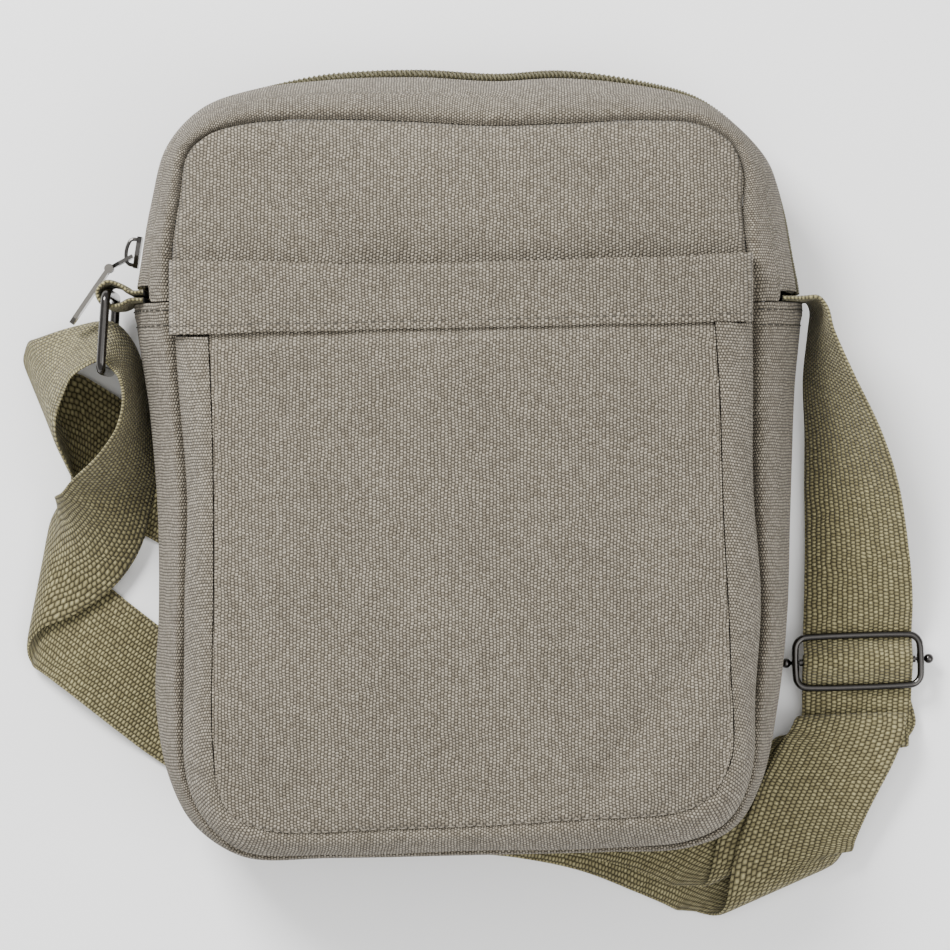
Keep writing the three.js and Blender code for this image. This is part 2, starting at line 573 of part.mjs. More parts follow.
function pocketGussetPlace(u, v) {
  const foot = footLine.getPointAt(u);
  foot.z += CANVAS + 2 * SEAM_GAP + FRONT_DOME * 0.05;
  const t = pocketSeam.getUtoTmapping(u);
  const head = pocketSeamPoint(t, (CANVAS + SEAM_GAP) / 2);
  const footTangent = footLine.getTangentAt(u);
  const away = new THREE.Vector3().crossVectors(footTangent, UP).normalize();
  const share = (1 - Math.cos(Math.PI * v)) / 2;
  const bulge = POCKET_BULGE * Math.sin(Math.PI * v);
  return foot.lerp(head, share).addScaledVector(away, bulge);
}

// The hem band across the pocket's mouth, as shares of half the width and half the height
const BAND = {
  leftEnd: -0.872, leftFoot: 0.327, leftHead: 0.51,
  rightEnd: 0.826, rightFoot: 0.361, rightHead: 0.532, sag: 0.02,
};
const BAND_SQUARENESS = 1 / 3;
const HEM = CANVAS + 0.4;

// It bends down to the front seam at both ends
function bandPlace(u, v) {
  const bend = Math.PI * (1 - u);
  const aside = Math.sign(Math.cos(bend)) * Math.abs(Math.cos(bend)) ** BAND_SQUARENESS;
  const rise = Math.abs(Math.sin(bend)) ** BAND_SQUARENESS;
  const share = (aside + 1) / 2;
  const foot = THREE.MathUtils.lerp(BAND.leftFoot, BAND.rightFoot, share);
  const head = THREE.MathUtils.lerp(BAND.leftHead, BAND.rightHead, share) - BAND.sag * (1 - aside * aside);
  const across = THREE.MathUtils.lerp(BAND.leftEnd, BAND.rightEnd, share);
  const low = FRONT_SEAM_LEVEL + CANVAS + 2 * SEAM_GAP;
  const dome = POCKET_DOME * (1 - Math.abs(aside) ** DOME_ROUNDNESS);
  return new THREE.Vector3(
    across * HALF_WIDTH,
    THREE.MathUtils.lerp(foot, head, v) * HALF_HEIGHT,
    low + (POCKET_LEVEL - low) * rise + dome);
}

function addPocket() {
  addPiece('pocket_face', clothSheet(pocketFacePlace, CANVAS, 12, 12, straightUp), canvasCloth);
  const outside = (u, v) => pocketGussetPlace(u, 1 - v);
  addPiece('pocket_gusset', clothSheet(outside, CANVAS, 34, 3), canvasCloth);
  addPiece('pocket_band', clothSheet(bandPlace, HEM, 26, 4), canvasCloth);
}

// Hardware
function headingVector(degrees) {
  const angle = THREE.MathUtils.degToRad(degrees);
  return new THREE.Vector3(Math.cos(angle), Math.sin(angle), 0);
}

function solidFrom(geometry) {
  const merged = closedGeometry(geometry);
  const vertProperties = new Float32Array(merged.attributes.position.array);
  const triVerts = new Uint32Array(merged.index.array);
  return new wasm.Manifold(new wasm.Mesh({ numProp: 3, vertProperties, triVerts }));
}

function geometryFrom(solid) {
  const mesh = solid.getMesh();
  const geometry = new THREE.BufferGeometry();
  geometry.setAttribute('position', new THREE.BufferAttribute(new Float32Array(mesh.vertProperties), 3));
  geometry.setIndex(new THREE.BufferAttribute(new Uint32Array(mesh.triVerts), 1));
  geometry.computeVertexNormals();
  return geometry;
}

// A round wire bent into a closed loop: a rounded rectangle in the plane of two directions
function wireLoop(middle, sideways, upwards, length, height, corner, wire) {
  const halfLength = (length - wire) / 2;
  const halfHeight = (height - wire) / 2;
  const points = [];
  const corners = [[1, 1, 0], [-1, 1, 90], [-1, -1, 180], [1, -1, 270]];
  for (const [right, up, start] of corners) {
    for (const angle of [0, 30, 60, 90]) {
      const bend = THREE.MathUtils.degToRad(start + angle);
      points.push(middle.clone()
        .addScaledVector(sideways, right * (halfLength - corner) + corner * Math.cos(bend))
        .addScaledVector(upwards, up * (halfHeight - corner) + corner * Math.sin(bend)));
    }
  }
  const route = new THREE.CatmullRomCurve3(points, true, 'catmullrom', 0.35);
  return new THREE.TubeGeometry(route, 40, wire / 2, 8, true);
}

function rod(from, to, radius, sides = 10) {
  const geometry = new THREE.CylinderGeometry(radius, radius, from.distanceTo(to), sides);
  const turn = new THREE.Quaternion().setFromUnitVectors(
    new THREE.Vector3(0, 1, 0), to.clone().sub(from).normalize());
  geometry.applyQuaternion(turn);
  const middle = from.clone().lerp(to, 0.5);
  return geometry.translate(middle.x, middle.y, middle.z);
}

// The ring hangs in the tab's loop, edge on to the front
const TAB_LOOP = [
  { across: -0.965, along: 0.4375 },
  { across: -1.005, along: 0.4385 },
  { across: -1.035, along: 0.455 },
  { across: -1.075, along: 0.463 },
  { across: -1.101, along: 0.438 },
  { across: -1.083, along: 0.408 },
  { across: -1.04, along: 0.404 },
  { across: -1.005, along: 0.4175 },
  { across: -0.965, along: 0.4185 },
];
const TAB_LEVEL = 0.54 * FRONT_SEAM_LEVEL;
const RING_TOP = { across: -1.073, along: 0.4345 };
const RING_HEADING = 266;
const RING_LENGTH = WEBBING_WIDTH + 2 * RING_WIRE + 4 * SEAM_GAP;

function addRingAndTab() {
  const loop = new THREE.CatmullRomCurve3(TAB_LOOP.map((row) => new THREE.Vector3(
    row.across * HALF_WIDTH, row.along * HALF_HEIGHT, TAB_LEVEL)), false, 'centripetal');
  const place = (u, v) => loop.getPoint(u).addScaledVector(UP, (0.5 - v) * WEBBING_WIDTH);
  addPiece('ring_tab', clothSheet(place, WEBBING, 26, 1), oliveWebbing);
  const lean = headingVector(RING_HEADING);
  const top = new THREE.Vector3(RING_TOP.across * HALF_WIDTH, RING_TOP.along * HALF_HEIGHT, TAB_LEVEL);
  const middle = top.clone().addScaledVector(lean, RING_DROP / 2);
  const ring = wireLoop(middle, UP, lean, RING_LENGTH, RING_DROP + RING_WIRE, RING_WIRE, RING_WIRE);
  addPiece('side_ring', closedGeometry(ring), blackNickel);
}

// The adjuster: a wire frame with an eye at each end, and a bar through both eyes
const adjusterTilt = THREE.MathUtils.degToRad(ADJUSTER.turn);
const adjusterAcross = new THREE.Vector3(Math.cos(adjusterTilt), Math.sin(adjusterTilt), 0);
const adjusterAlong = new THREE.Vector3(-Math.sin(adjusterTilt), Math.cos(adjusterTilt), 0);
const EYE_REACH = (SLIDE_LENGTH - SLIDE_WIRE) / 2;
const BAR_NECK = BAR_WIRE / 4;

function onBar(reach, level = BAR_LEVEL) {
  return ADJUSTER_PLACE.clone().setZ(level).addScaledVector(adjusterAcross, reach);
}

function addAdjusterFrame() {
  const loop = wireLoop(
    onBar(0, SLIDE_LEVEL), adjusterAcross, adjusterAlong,
    SLIDE_LENGTH, SLIDE_HEIGHT, SLIDE_CORNER, SLIDE_WIRE);
  let frame = solidFrom(loop);
  for (const side of [-1, 1]) {
    const at = side * EYE_REACH;
    const half = side * SLIDE_WIRE / 2;
    const eye = rod(onBar(at - half), onBar(at + half), BAR_WIRE, 12);
    const post = rod(onBar(at, BAR_LEVEL + BAR_WIRE / 2), onBar(at, SLIDE_LEVEL), SLIDE_WIRE * 0.45, 8);
    const hole = rod(onBar(at - 2 * half), onBar(at + 2 * half), BAR_NECK + SEAM_GAP, 10);
    frame = frame.add(solidFrom(post)).add(solidFrom(eye)).subtract(solidFrom(hole));
  }
  addPiece('adjuster_frame', geometryFrom(frame), blackNickel);
}

// The bar is thin where it passes an eye, and has a ball beyond each
function addAdjusterBar() {
  const shoulder = EYE_REACH - SLIDE_WIRE / 2 - SEAM_GAP;
  const ballFrom = EYE_REACH + SLIDE_WIRE / 2 + SEAM_GAP;
  const step = 0.01;
  const half = [
    { radius: BAR_WIRE / 2, reach: shoulder },
    { radius: BAR_NECK, reach: shoulder + step },
    { radius: BAR_NECK, reach: ballFrom },
    { radius: BAR_BALL * 0.35, reach: ballFrom + step },
    { radius: BAR_BALL * 0.5, reach: ballFrom + BAR_BALL * 0.5 },
    { radius: BAR_BALL * 0.35, reach: ballFrom + BAR_BALL * 0.85 },
    { radius: 0, reach: ballFrom + BAR_BALL },
  ];
  const mirrored = half.map((row) => ({ radius: row.radius, reach: -row.reach })).reverse();
  const profile = [...mirrored, ...half].map((row) => new THREE.Vector2(row.radius, row.reach));
  const bar = new THREE.LatheGeometry(profile, 12);
  bar.rotateZ(adjusterTilt - Math.PI / 2);
  const middle = onBar(0);
  bar.translate(middle.x, middle.y, middle.z);
  addPiece('adjuster_bar', closedGeometry(bar), blackNickel);
}

// Zipper slider, its pull link and its pull tab, at the left end of the zipper
const SLIDER_ROW = LEFT_TAB + 1.02;
const SLIDER_LENGTH = 11;
const SLIDER_WIDTH = 8;
const SLIDER_HEIGHT = 1.6;
const BRIDGE_HEIGHT = 3.8;
const BRIDGE_LENGTH = 9;
const BRIDGE_WIRE = 1.3;
const LINK_HEADING = 208;
const PULLER_HEADING = 235.5;

const sliderFoot = stripBetween(SLIDER_ROW, SLIDER_ROW + 1, 0.5, 0.5, 0)(0, 0);
const sliderOut = outward(middleLine, SLIDER_ROW / AROUND.length).setZ(0).normalize();
const sliderDown = new THREE.Vector3().crossVectors(UP, sliderOut).normalize();
const coilTop = TAPE_DEPTH + TAPE / 2 + SEAM_GAP + COIL_HEIGHT;

// A place by the slider: how far out of the side wall, how far down the zipper and how high
function bySlider(out, down, up = 0) {
  return sliderFoot.clone()
    .addScaledVector(sliderOut, coilTop + SEAM_GAP + out)
    .addScaledVector(sliderDown, down)
    .addScaledVector(UP, up);
}

// A wire along points, with closed ends
function wireAlong(points, wire, steps, sides = 8) {
  const circle = new THREE.Shape();
  circle.absarc(0, 0, wire / 2, 0, 2 * Math.PI);
  const extrudePath = new THREE.CatmullRomCurve3(points, false, 'centripetal');
  return new THREE.ExtrudeGeometry(circle, { steps, curveSegments: sides, bevelEnabled: false, extrudePath });
}

// An outline given as one half, from its first end to its last, and mirrored to the other side
function mirroredOutline(half) {
  const there = half.map((row) => new THREE.Vector2(row.run, -row.up));
  const back = half.map((row) => new THREE.Vector2(row.run, row.up)).reverse();
  return [...there, ...back];
}

// A flat plate standing on edge: its outline in run and height, spread to both faces
function plateAlong(from, heading, outline, holes, thickness) {
  const shape = new THREE.Shape(outline);
  for (const hole of holes) shape.holes.push(new THREE.Path(hole));
  const geometry = new THREE.ExtrudeGeometry(shape, { depth: thickness, bevelEnabled: false });
  geometry.translate(0, 0, -thickness / 2);
  geometry.rotateX(Math.PI / 2);
  geometry.rotateZ(THREE.MathUtils.degToRad(heading));
  return geometry.translate(from.x, from.y, from.z);
}

const HINGE_OUT = SLIDER_HEIGHT + BRIDGE_HEIGHT - BRIDGE_WIRE - 2 * HINGE_GAP - PIN_WIRE / 2;
const hingeAt = bySlider(HINGE_OUT, BRIDGE_LENGTH * 0.2);
const rivetAt = hingeAt.clone().addScaledVector(headingVector(LINK_HEADING), LINK_LENGTH);

function addSlider() {
  const run = SLIDER_LENGTH / 2;
  const up = SLIDER_WIDTH / 2;
  const outline = mirroredOutline([
    { run: -run, up: up * 0.8 }, { run: -run * 0.6, up }, { run: run * 0.2, up }, { run, up: up * 0.6 },
  ]);
  const heading = THREE.MathUtils.radToDeg(Math.atan2(sliderDown.y, sliderDown.x));
  const plate = plateAlong(bySlider(SLIDER_HEIGHT / 2, 0), heading, outline, [], SLIDER_HEIGHT);
  const reach = BRIDGE_LENGTH / 2;
  const crown = SLIDER_HEIGHT + BRIDGE_HEIGHT - BRIDGE_WIRE / 2;
  const shoulder = SLIDER_HEIGHT + BRIDGE_HEIGHT * 0.55;
  const foot = SLIDER_HEIGHT / 2;
  const arch = [
    bySlider(foot, -reach), bySlider(shoulder, -reach * 0.92), bySlider(crown, -reach * 0.35),
    bySlider(crown, reach * 0.35), bySlider(shoulder, reach * 0.92), bySlider(foot, reach),
  ];
  const bridge = wireAlong(arch, BRIDGE_WIRE, 18, 6);
  addPiece('zipper_slider', geometryFrom(solidFrom(plate).add(solidFrom(bridge))), blackNickel);
}

// Round pieces about the rivet, given by how far they reach below and above its middle
function aboutRivet(below, above, radius, sides) {
  const at = (up) => rivetAt.clone().addScaledVector(UP, up);
  return solidFrom(rod(at(below), at(above), radius, sides));
}

function addPullLink() {
  const half = LINK_WIDTH / 2;
  const outline = mirroredOutline([
    { run: -PIN_WIRE / 2, up: half }, { run: LINK_LENGTH * 0.55, up: half * 0.9 },
    { run: LINK_LENGTH - KNUCKLE * 0.3, up: KNUCKLE / 2 },
  ]);
  const slotHalf = BRIDGE_WIRE / 2 + HINGE_GAP;
  const slot = mirroredOutline([{ run: PIN_WIRE / 2, up: slotHalf }, { run: LINK_LENGTH * 0.6, up: slotHalf }]);
  const plate = solidFrom(plateAlong(hingeAt, LINK_HEADING, outline, [slot], PIN_WIRE));
  const barrel = aboutRivet(-KNUCKLE / 2, KNUCKLE / 2, RIVET_BARREL, 14);
  const bore = aboutRivet(-KNUCKLE, KNUCKLE, PIN_WIRE / 2 + HINGE_GAP, 12);
  addPiece('zipper_pull_link', geometryFrom(plate.add(barrel).subtract(bore)), blackNickel);
}

// The tab's forked end holds the rivet on both sides of the link
function addPullTab() {
  const wide = PULLER_WIDTH / 2;
  const earFrom = KNUCKLE / 2 + HINGE_GAP;
  const earTo = wide * 0.8;
  const outline = mirroredOutline([
    { run: -PULLER_THICK * 0.9, up: earTo }, { run: PULLER_THICK, up: wide * 0.85 },
    { run: PULLER_LENGTH * 0.35, up: wide }, { run: PULLER_LENGTH * 0.9, up: wide * 0.9 },
    { run: PULLER_LENGTH, up: wide * 0.5 },
  ]);
  const fork = mirroredOutline([
    { run: -2 * PULLER_THICK, up: earFrom }, { run: RIVET_BARREL + HINGE_GAP, up: earFrom },
  ]);
  const body = solidFrom(plateAlong(rivetAt, PULLER_HEADING, outline, [], PULLER_THICK));
  const mouth = solidFrom(plateAlong(rivetAt, PULLER_HEADING, fork, [], PULLER_THICK * 3));
  const pin = aboutRivet(-earTo, earTo, PIN_WIRE / 2, 10);
  const upperEar = aboutRivet(earFrom, earTo, PULLER_THICK, 12);
  const lowerEar = aboutRivet(-earTo, -earFrom, PULLER_THICK, 12);
  const tab = body.subtract(mouth).add(upperEar).add(lowerEar).add(pin);
  addPiece('zipper_pull_tab', geometryFrom(tab), blackNickel);
}

addBody();
addZipper();
addPocket();
addPiece('shoulder_strap', strapGeometry(), oliveWebbing);
addRingAndTab();
addAdjusterFrame();
addAdjusterBar();
addSlider();
addPullLink();
addPullTab();

export default bag;
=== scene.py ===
# %% [markdown]
# # A canvas shoulder bag, dressed
#
# The CAD model gives the frame: every piece here stands where its solid stands, in metres.
# The cloth is made again on fine grids, from the same seams and the same strap stations, and
# gets its weave, its stitches and its small dents. The three pieces of the zipper's puller
# keep their solids and only get a better metal.

# %% Imports and the frame
import math
from collections import namedtuple

import bmesh
import bpy
import numpy as np
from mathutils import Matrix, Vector


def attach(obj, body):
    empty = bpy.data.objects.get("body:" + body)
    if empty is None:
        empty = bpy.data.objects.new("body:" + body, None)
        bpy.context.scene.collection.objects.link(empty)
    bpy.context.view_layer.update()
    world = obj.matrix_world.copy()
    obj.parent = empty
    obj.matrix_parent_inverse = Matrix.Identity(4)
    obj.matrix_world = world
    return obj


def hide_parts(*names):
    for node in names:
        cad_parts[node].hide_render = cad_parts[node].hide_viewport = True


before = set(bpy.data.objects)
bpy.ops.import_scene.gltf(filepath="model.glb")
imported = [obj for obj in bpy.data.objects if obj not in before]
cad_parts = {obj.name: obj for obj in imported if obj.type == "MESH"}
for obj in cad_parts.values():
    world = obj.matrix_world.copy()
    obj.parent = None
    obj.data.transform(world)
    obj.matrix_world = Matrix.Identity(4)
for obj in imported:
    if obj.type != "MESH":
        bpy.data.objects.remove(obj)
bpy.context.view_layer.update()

# %% [markdown]
# ## Sizes
#
# All lengths are in millimetres, as in the CAD source, and MM turns them to metres where a
# mesh is made. Lengths in the tables are shares of half the bag's width, of half its height
# and of the front seam's level.

# %% Sizes
MM = 0.001
BAG_WIDTH = 230
BAG_HEIGHT = 270
HALF_WIDTH = BAG_WIDTH / 2
HALF_HEIGHT = BAG_HEIGHT / 2
FRONT_SEAM_LEVEL = 54
MIDDLE_LEVEL = 28
BACK_SEAM_LEVEL = 4
BACK_INSET = 11
FRONT_DOME = 13
POCKET_RISE = 16
POCKET_DOME = 5
POCKET_LEVEL = FRONT_SEAM_LEVEL + POCKET_RISE
CANVAS = 1.5
SEAM_GAP = 0.3
WEBBING_WIDTH = 38
WEBBING = 1.8
LAYER_GAP = 0.5
RING_WIRE = 3.2
RING_DROP = 26
SLIDE_WIRE = 2.4
SLIDE_LENGTH = 46
SLIDE_HEIGHT = 20
SLIDE_CORNER = 4
BAR_WIRE = 2.4
BAR_BALL = 3.4
COIL_WIDTH = 5
COIL_HEIGHT = 2
TAPE = 0.6
SIDE_WALK = 61
UP = np.array([0.0, 0.0, 1.0])

# %% [markdown]
# ## Curves
#
# A seam is a smooth curve through a few chosen places. It is sampled once, and then read
# at any share of its run.


# %% Curves
def lerp(a, b, share):
    return a + (b - a) * share


def smoothstep(value, low, high):
    share = np.clip((value - low) / (high - low), 0, 1)
    return share * share * (3 - 2 * share)


def unit(vectors):
    return vectors / np.maximum(np.linalg.norm(vectors, axis=-1, keepdims=True), 1e-9)


def walked(points):
    """The length walked from the first point to each of them"""
    steps = np.linalg.norm(np.diff(points, axis=0), axis=1)
    return np.concatenate([[0], np.cumsum(steps)])


def groove(away, depth, width):
    """How deep a soft furrow is at a distance from its line"""
    return depth * np.exp(-((away / width) ** 2))


def hermite_stretch(p0, p1, p2, p3, steps):
    """One stretch of a centripetal Catmull-Rom curve, from p1 up to p2"""
    gap = [max(float(np.linalg.norm(b - a)), 1e-6) ** 0.5 for a, b in ((p0, p1), (p1, p2), (p2, p3))]
    start = (p1 - p0) / gap[0] - (p2 - p0) / (gap[0] + gap[1]) + (p2 - p1) / gap[1]
    end = (p2 - p1) / gap[1] - (p3 - p1) / (gap[1] + gap[2]) + (p3 - p2) / gap[2]
    start, end = start * gap[1], end * gap[1]
    s = np.linspace(0, 1, steps, endpoint=False)[:, None]
    ease = 3 * s**2 - 2 * s**3
    return p1 + ease * (p2 - p1) + (s - 2 * s**2 + s**3) * start + (s**3 - s**2) * end


class Curve:
    """A smooth curve through points, read by a share of its run from 0 to 1"""

    def __init__(self, points, closed=False, steps=40):
        points = np.asarray(points, float)
        if closed:
            padded = np.vstack([points[-1:], points, points[:2]])
        else:
            padded = np.vstack([2 * points[:1] - points[1:2], points, 2 * points[-1:] - points[-2:-1]])
        stretches = [hermite_stretch(*padded[i : i + 4], steps) for i in range(len(padded) - 3)]
        self.samples = np.vstack(stretches + [padded[-2:-1]])
        self.shares = np.linspace(0, 1, len(self.samples))
        self.closed = closed

    def at(self, share):
        share = np.mod(share, 1) if self.closed else np.clip(share, 0, 1)
        return np.stack([np.interp(share, self.shares, axis) for axis in self.samples.T], axis=-1)

    def tangent(self, share):
        nudge = 0.5 / len(self.samples)
        share = np.asarray(share, float)
        if not self.closed:
            share = np.clip(share, nudge, 1 - nudge)
        return unit(self.at(share + nudge) - self.at(share - nudge))

    def even_shares(self, count):
        """Shares of the run that lie evenly along its length"""
        lengths = walked(self.samples)
        return np.interp(np.linspace(0, lengths[-1], count), lengths, self.shares)

    def length(self):
        return float(walked(self.samples)[-1])


# %% [markdown]
# ## Seams of the body
#
# Each row is one place round the bag: its widest line and its front seam. Rows run
# clockwise from the left tab.

# %% Seams of the body
Around = namedtuple("Around", "across along seam_across seam_along")
AROUND = [
    Around(-1.0, 0.41, -0.87, 0.41),
    Around(-0.98, 0.54, -0.876, 0.54),
    Around(-0.952, 0.67, -0.855, 0.67),
    Around(-0.905, 0.81, -0.83, 0.785),
    Around(-0.8, 0.912, -0.765, 0.833),
    Around(-0.65, 0.962, -0.65, 0.861),
    Around(-0.4, 0.992, -0.4, 0.87),
    Around(-0.15, 1.0, -0.15, 0.864),
    Around(0.08, 0.99, 0.06, 0.855),
    Around(0.28, 0.998, 0.28, 0.86),
    Around(0.52, 0.972, 0.52, 0.869),
    Around(0.68, 0.933, 0.685, 0.858),
    Around(0.81, 0.852, 0.775, 0.81),
    Around(0.9, 0.77, 0.81, 0.74),
    Around(0.945, 0.66, 0.808, 0.65),
    Around(0.972, 0.54, 0.818, 0.55),
    Around(0.995, 0.415, 0.834, 0.41),
    Around(0.977, 0.19, 0.834, 0.19),
    Around(0.965, -0.11, 0.84, -0.11),
    Around(0.955, -0.37, 0.858, -0.37),
    Around(0.925, -0.61, 0.836, -0.61),
    Around(0.875, -0.79, 0.815, -0.79),
    Around(0.79, -0.905, 0.76, -0.89),
    Around(0.66, -0.945, 0.64, -0.942),
    Around(0.4, -0.952, 0.4, -0.955),
    Around(0.0, -0.963, 0.0, -0.962),
    Around(-0.4, -0.972, -0.4, -0.968),
    Around(-0.67, -0.966, -0.66, -0.966),
    Around(-0.81, -0.915, -0.765, -0.89),
    Around(-0.895, -0.79, -0.824, -0.79),
    Around(-0.938, -0.61, -0.838, -0.61),
    Around(-0.93, -0.37, -0.832, -0.37),
    Around(-0.934, -0.11, -0.826, -0.11),
    Around(-0.957, 0.13, -0.844, 0.13),
]
ROWS = len(AROUND)
LEFT_TAB = 0
TOP_LEFT = 4
TOP_RIGHT = 12
RIGHT_TAB = 16
BOTTOM_RIGHT = 22
BOTTOM_LEFT = 28

middle_line = Curve([(r.across * HALF_WIDTH, r.along * HALF_HEIGHT, MIDDLE_LEVEL) for r in AROUND], True)
front_seam = Curve(
    [(r.seam_across * HALF_WIDTH, r.seam_along * HALF_HEIGHT, FRONT_SEAM_LEVEL) for r in AROUND], True)


def outward(curve, share):
    return unit(np.cross(UP, curve.tangent(share)))


def on_seam(curve, row, out=0.0):
    """Places on a closed seam by row, moved outwards on the table"""
    share = np.mod(np.asarray(row, float) / ROWS, 1)
    return curve.at(share) + outward(curve, share) * np.asarray(out, float)[..., None]


def back_seam_point(row, out=0.0):
    place = on_seam(middle_line, row, out - BACK_INSET)
    place[..., 2] = BACK_SEAM_LEVEL
    return place


def patch(bottom, top, left, right, u, v):
    """A surface between four edges, each a function from 0 to 1"""
    u3, v3 = u[..., None], v[..., None]
    across = lerp(bottom(u), top(u), v3)
    along = lerp(left(v), right(v), u3)
    zero, one = np.zeros(1), np.ones(1)
    corners = lerp(lerp(left(zero), right(zero), u3), lerp(left(one), right(one), u3), v3)
    return across + along - corners


def seam_edge(seam_point, inset):
    """Makes edges that run along a seam from one place to another, inset from it"""
    def edge(start, end):
        return lambda share: seam_point(lerp(start, end, share), np.full(np.shape(share), -inset))
    return edge


def seam_panel(seam_point, u, v, inset):
    edge = seam_edge(seam_point, inset)
    return patch(
        edge(BOTTOM_LEFT, BOTTOM_RIGHT), edge(TOP_LEFT, TOP_RIGHT),
        edge(BOTTOM_LEFT, ROWS + TOP_LEFT), edge(BOTTOM_RIGHT, TOP_RIGHT), u, v)


def fullness(u, v, roundness):
    """0 on the edge of a panel and 1 in its middle"""
    return (1 - np.abs(2 * u - 1) ** roundness) * (1 - np.abs(2 * v - 1) ** roundness)


# %% [markdown]
# ## The strap's stations
#
# The strap runs from the right seam through the adjuster, is folded in three, goes round
# under the bag, through the ring, back under the bag and round the adjuster's bar. Turn and
# tilt give the line from one edge of the webbing to the other, in degrees.

# %% The strap's stations
Station = namedtuple("Station", "across along level turn tilt")
ADJUSTER = Station(1.183, -0.506, 0, 1.9, 0)
FROM_RIGHT_SEAM = [
    Station(0.93, 0.4237, 0.53, 0, 90),
    Station(0.995, 0.4237, 0.53, 0, 90),
    Station(1.03, 0.425, 0.53, 0, 88),
    Station(1.05, 0.4, 0.524, 0, 86),
    Station(1.056, 0.348, 0.51, 0, 82),
    Station(1.08, 0.235, 0.465, 0, 68),
    Station(1.13, 0.083, 0.345, 0, 50),
    Station(1.16, -0.057, 0.245, 0, 34),
    Station(1.178, -0.222, 0.19, 0, 22),
    Station(1.184, -0.35, 0.152, 1, 9),
]
PLEAT_TO_CORNER = [
    Station(1.147, -0.69, 0.215, -3, 0),
    Station(1.112, -0.752, 0.211, -13, 0),
    Station(1.057, -0.845, 0.199, -19, 0),
    Station(1.012, -0.94, 0.178, -10, 0),
    Station(0.983, -1.02, 0.162, 8, 0),
    Station(0.965, -1.056, 0.157, 22, 0),
    Station(0.95, -1.083, 0.138, 24, 0),
    Station(0.93, -1.099, 0.09, 24, 0),
    Station(0.903, -1.101, 0.042, 24, 0),
    Station(0.868, -1.092, 0.0225, 25, 0),
    Station(0.8, -1.061, 0.0215, 38, 0),
]
FIRST_UNDER_BAG = [
    Station(0.713, -1.03, 0.0215, 58, 0),
    Station(0.578, -0.981, 0.0215, 68, 0),
    Station(0.387, -0.919, 0.0215, 74, 0),
    Station(0.17, -0.881, 0.0215, 78, 0),
    Station(-0.09, -0.859, 0.0215, 77, 0),
    Station(-0.5, -0.79, 0.0215, 65, 0),
    Station(-0.78, -0.69, 0.023, 55, 0),
    Station(-0.887, -0.633, 0.035, 52, -2),
    Station(-0.948, -0.593, 0.054, 51, -5),
]
FOLD_AND_RING = [
    Station(-1.026, -0.541, 0.07, 51, -8),
    Station(-1.104, -0.489, 0.078, 52, -9),
    Station(-1.174, -0.443, 0.07, 55, -8),
    Station(-1.243, -0.396, 0.056, 64, -5),
    Station(-1.291, -0.356, 0.052, 76, -2),
    Station(-1.306, -0.307, 0.111, 79, 0),
    Station(-1.27, -0.259, 0.167, 82, 4),
    Station(-1.226, -0.233, 0.194, 98, 10),
    Station(-1.165, -0.196, 0.24, 122, 22),
    Station(-1.109, -0.133, 0.315, 148, 36),
    Station(-1.074, -0.063, 0.37, 164, 46),
    Station(-1.022, 0.011, 0.455, 168, 60),
    Station(-1.0, 0.089, 0.5, 172, 74),
    Station(-0.997, 0.163, 0.51, 180, 80),
    Station(-1.015, 0.242, 0.528, 226, 79),
    Station(-1.045, 0.288, 0.53, 252, 72),
    Station(-1.085, 0.318, 0.535, 266, 68),
    Station(-1.19, 0.295, 0.5, 284, 63),
    Station(-1.255, 0.262, 0.455, 303, 57),
    Station(-1.29, 0.227, 0.324, 297, 46),
    Station(-1.299, 0.184, 0.24, 293, 35),
    Station(-1.283, 0.131, 0.154, 294, 19),
    Station(-1.253, 0.104, 0.07, 287, 6),
    Station(-1.2, 0.081, 0.0445, 264, 1),
    Station(-1.113, 0.033, 0.041, 248, 0),
]
SECOND_UNDER_BAG = [
    Station(-1.009, -0.015, 0.035, 245, 0),
    Station(-0.85, -0.088, 0.0215, 242, 0),
    Station(-0.5, -0.31, 0.0215, 231, 0),
    Station(-0.17, -0.62, 0.0225, 232, 0),
    Station(-0.03, -0.745, 0.04, 240, 0),
    Station(0.07, -0.81, 0.064, 246, 0),
    Station(0.22, -0.855, 0.068, 255, 0),
    Station(0.42, -0.885, 0.068, 253, 0),
    Station(0.6, -0.93, 0.068, 240, 0),
    Station(0.745, -0.985, 0.068, 222, 0),
]
BACK_TO_ADJUSTER = [
    Station(0.83, -1.017, 0.068, 207, 0),
    Station(0.865, -1.026, 0.075, 204, 0),
    Station(0.885, -1.025, 0.092, 204, 0),
    Station(0.9, -1.013, 0.109, 204, 0),
    Station(0.92, -0.99, 0.114, 200, 0),
    Station(0.962, -0.925, 0.116, 180, 0),
    Station(1.02, -0.84, 0.105, 162, 0),
    Station(1.08, -0.77, 0.075, 168, 0),
    Station(1.125, -0.72, 0.062, 175, 0),
]

RAIL_REACH = (SLIDE_HEIGHT - SLIDE_WIRE) / 2
LAYER = WEBBING + LAYER_GAP
CUT_END_LEVEL = 1.5
BAR_LEVEL = CUT_END_LEVEL + LAYER * 0.85 + BAR_WIRE / 2 + WEBBING / 2 + SEAM_GAP
WRAP_RADIUS = BAR_WIRE / 2 + SEAM_GAP * 1.3 + WEBBING / 2
OVER_WRAP = BAR_LEVEL + WRAP_RADIUS + LAYER
UNDER_RAIL = CUT_END_LEVEL + 2 * LAYER
SLIDE_LEVEL = UNDER_RAIL + WEBBING / 2 + SEAM_GAP + SLIDE_WIRE / 2 + 0.2
PLEAT_RADIUS = LAYER / 2


def near_adjuster(aside, along, level, turn=ADJUSTER.turn):
    """A station measured from the adjuster's middle, in millimetres"""
    across = ADJUSTER.across + aside / HALF_WIDTH
    return Station(across, ADJUSTER.along + along / HALF_HEIGHT, level / FRONT_SEAM_LEVEL, turn, 0)


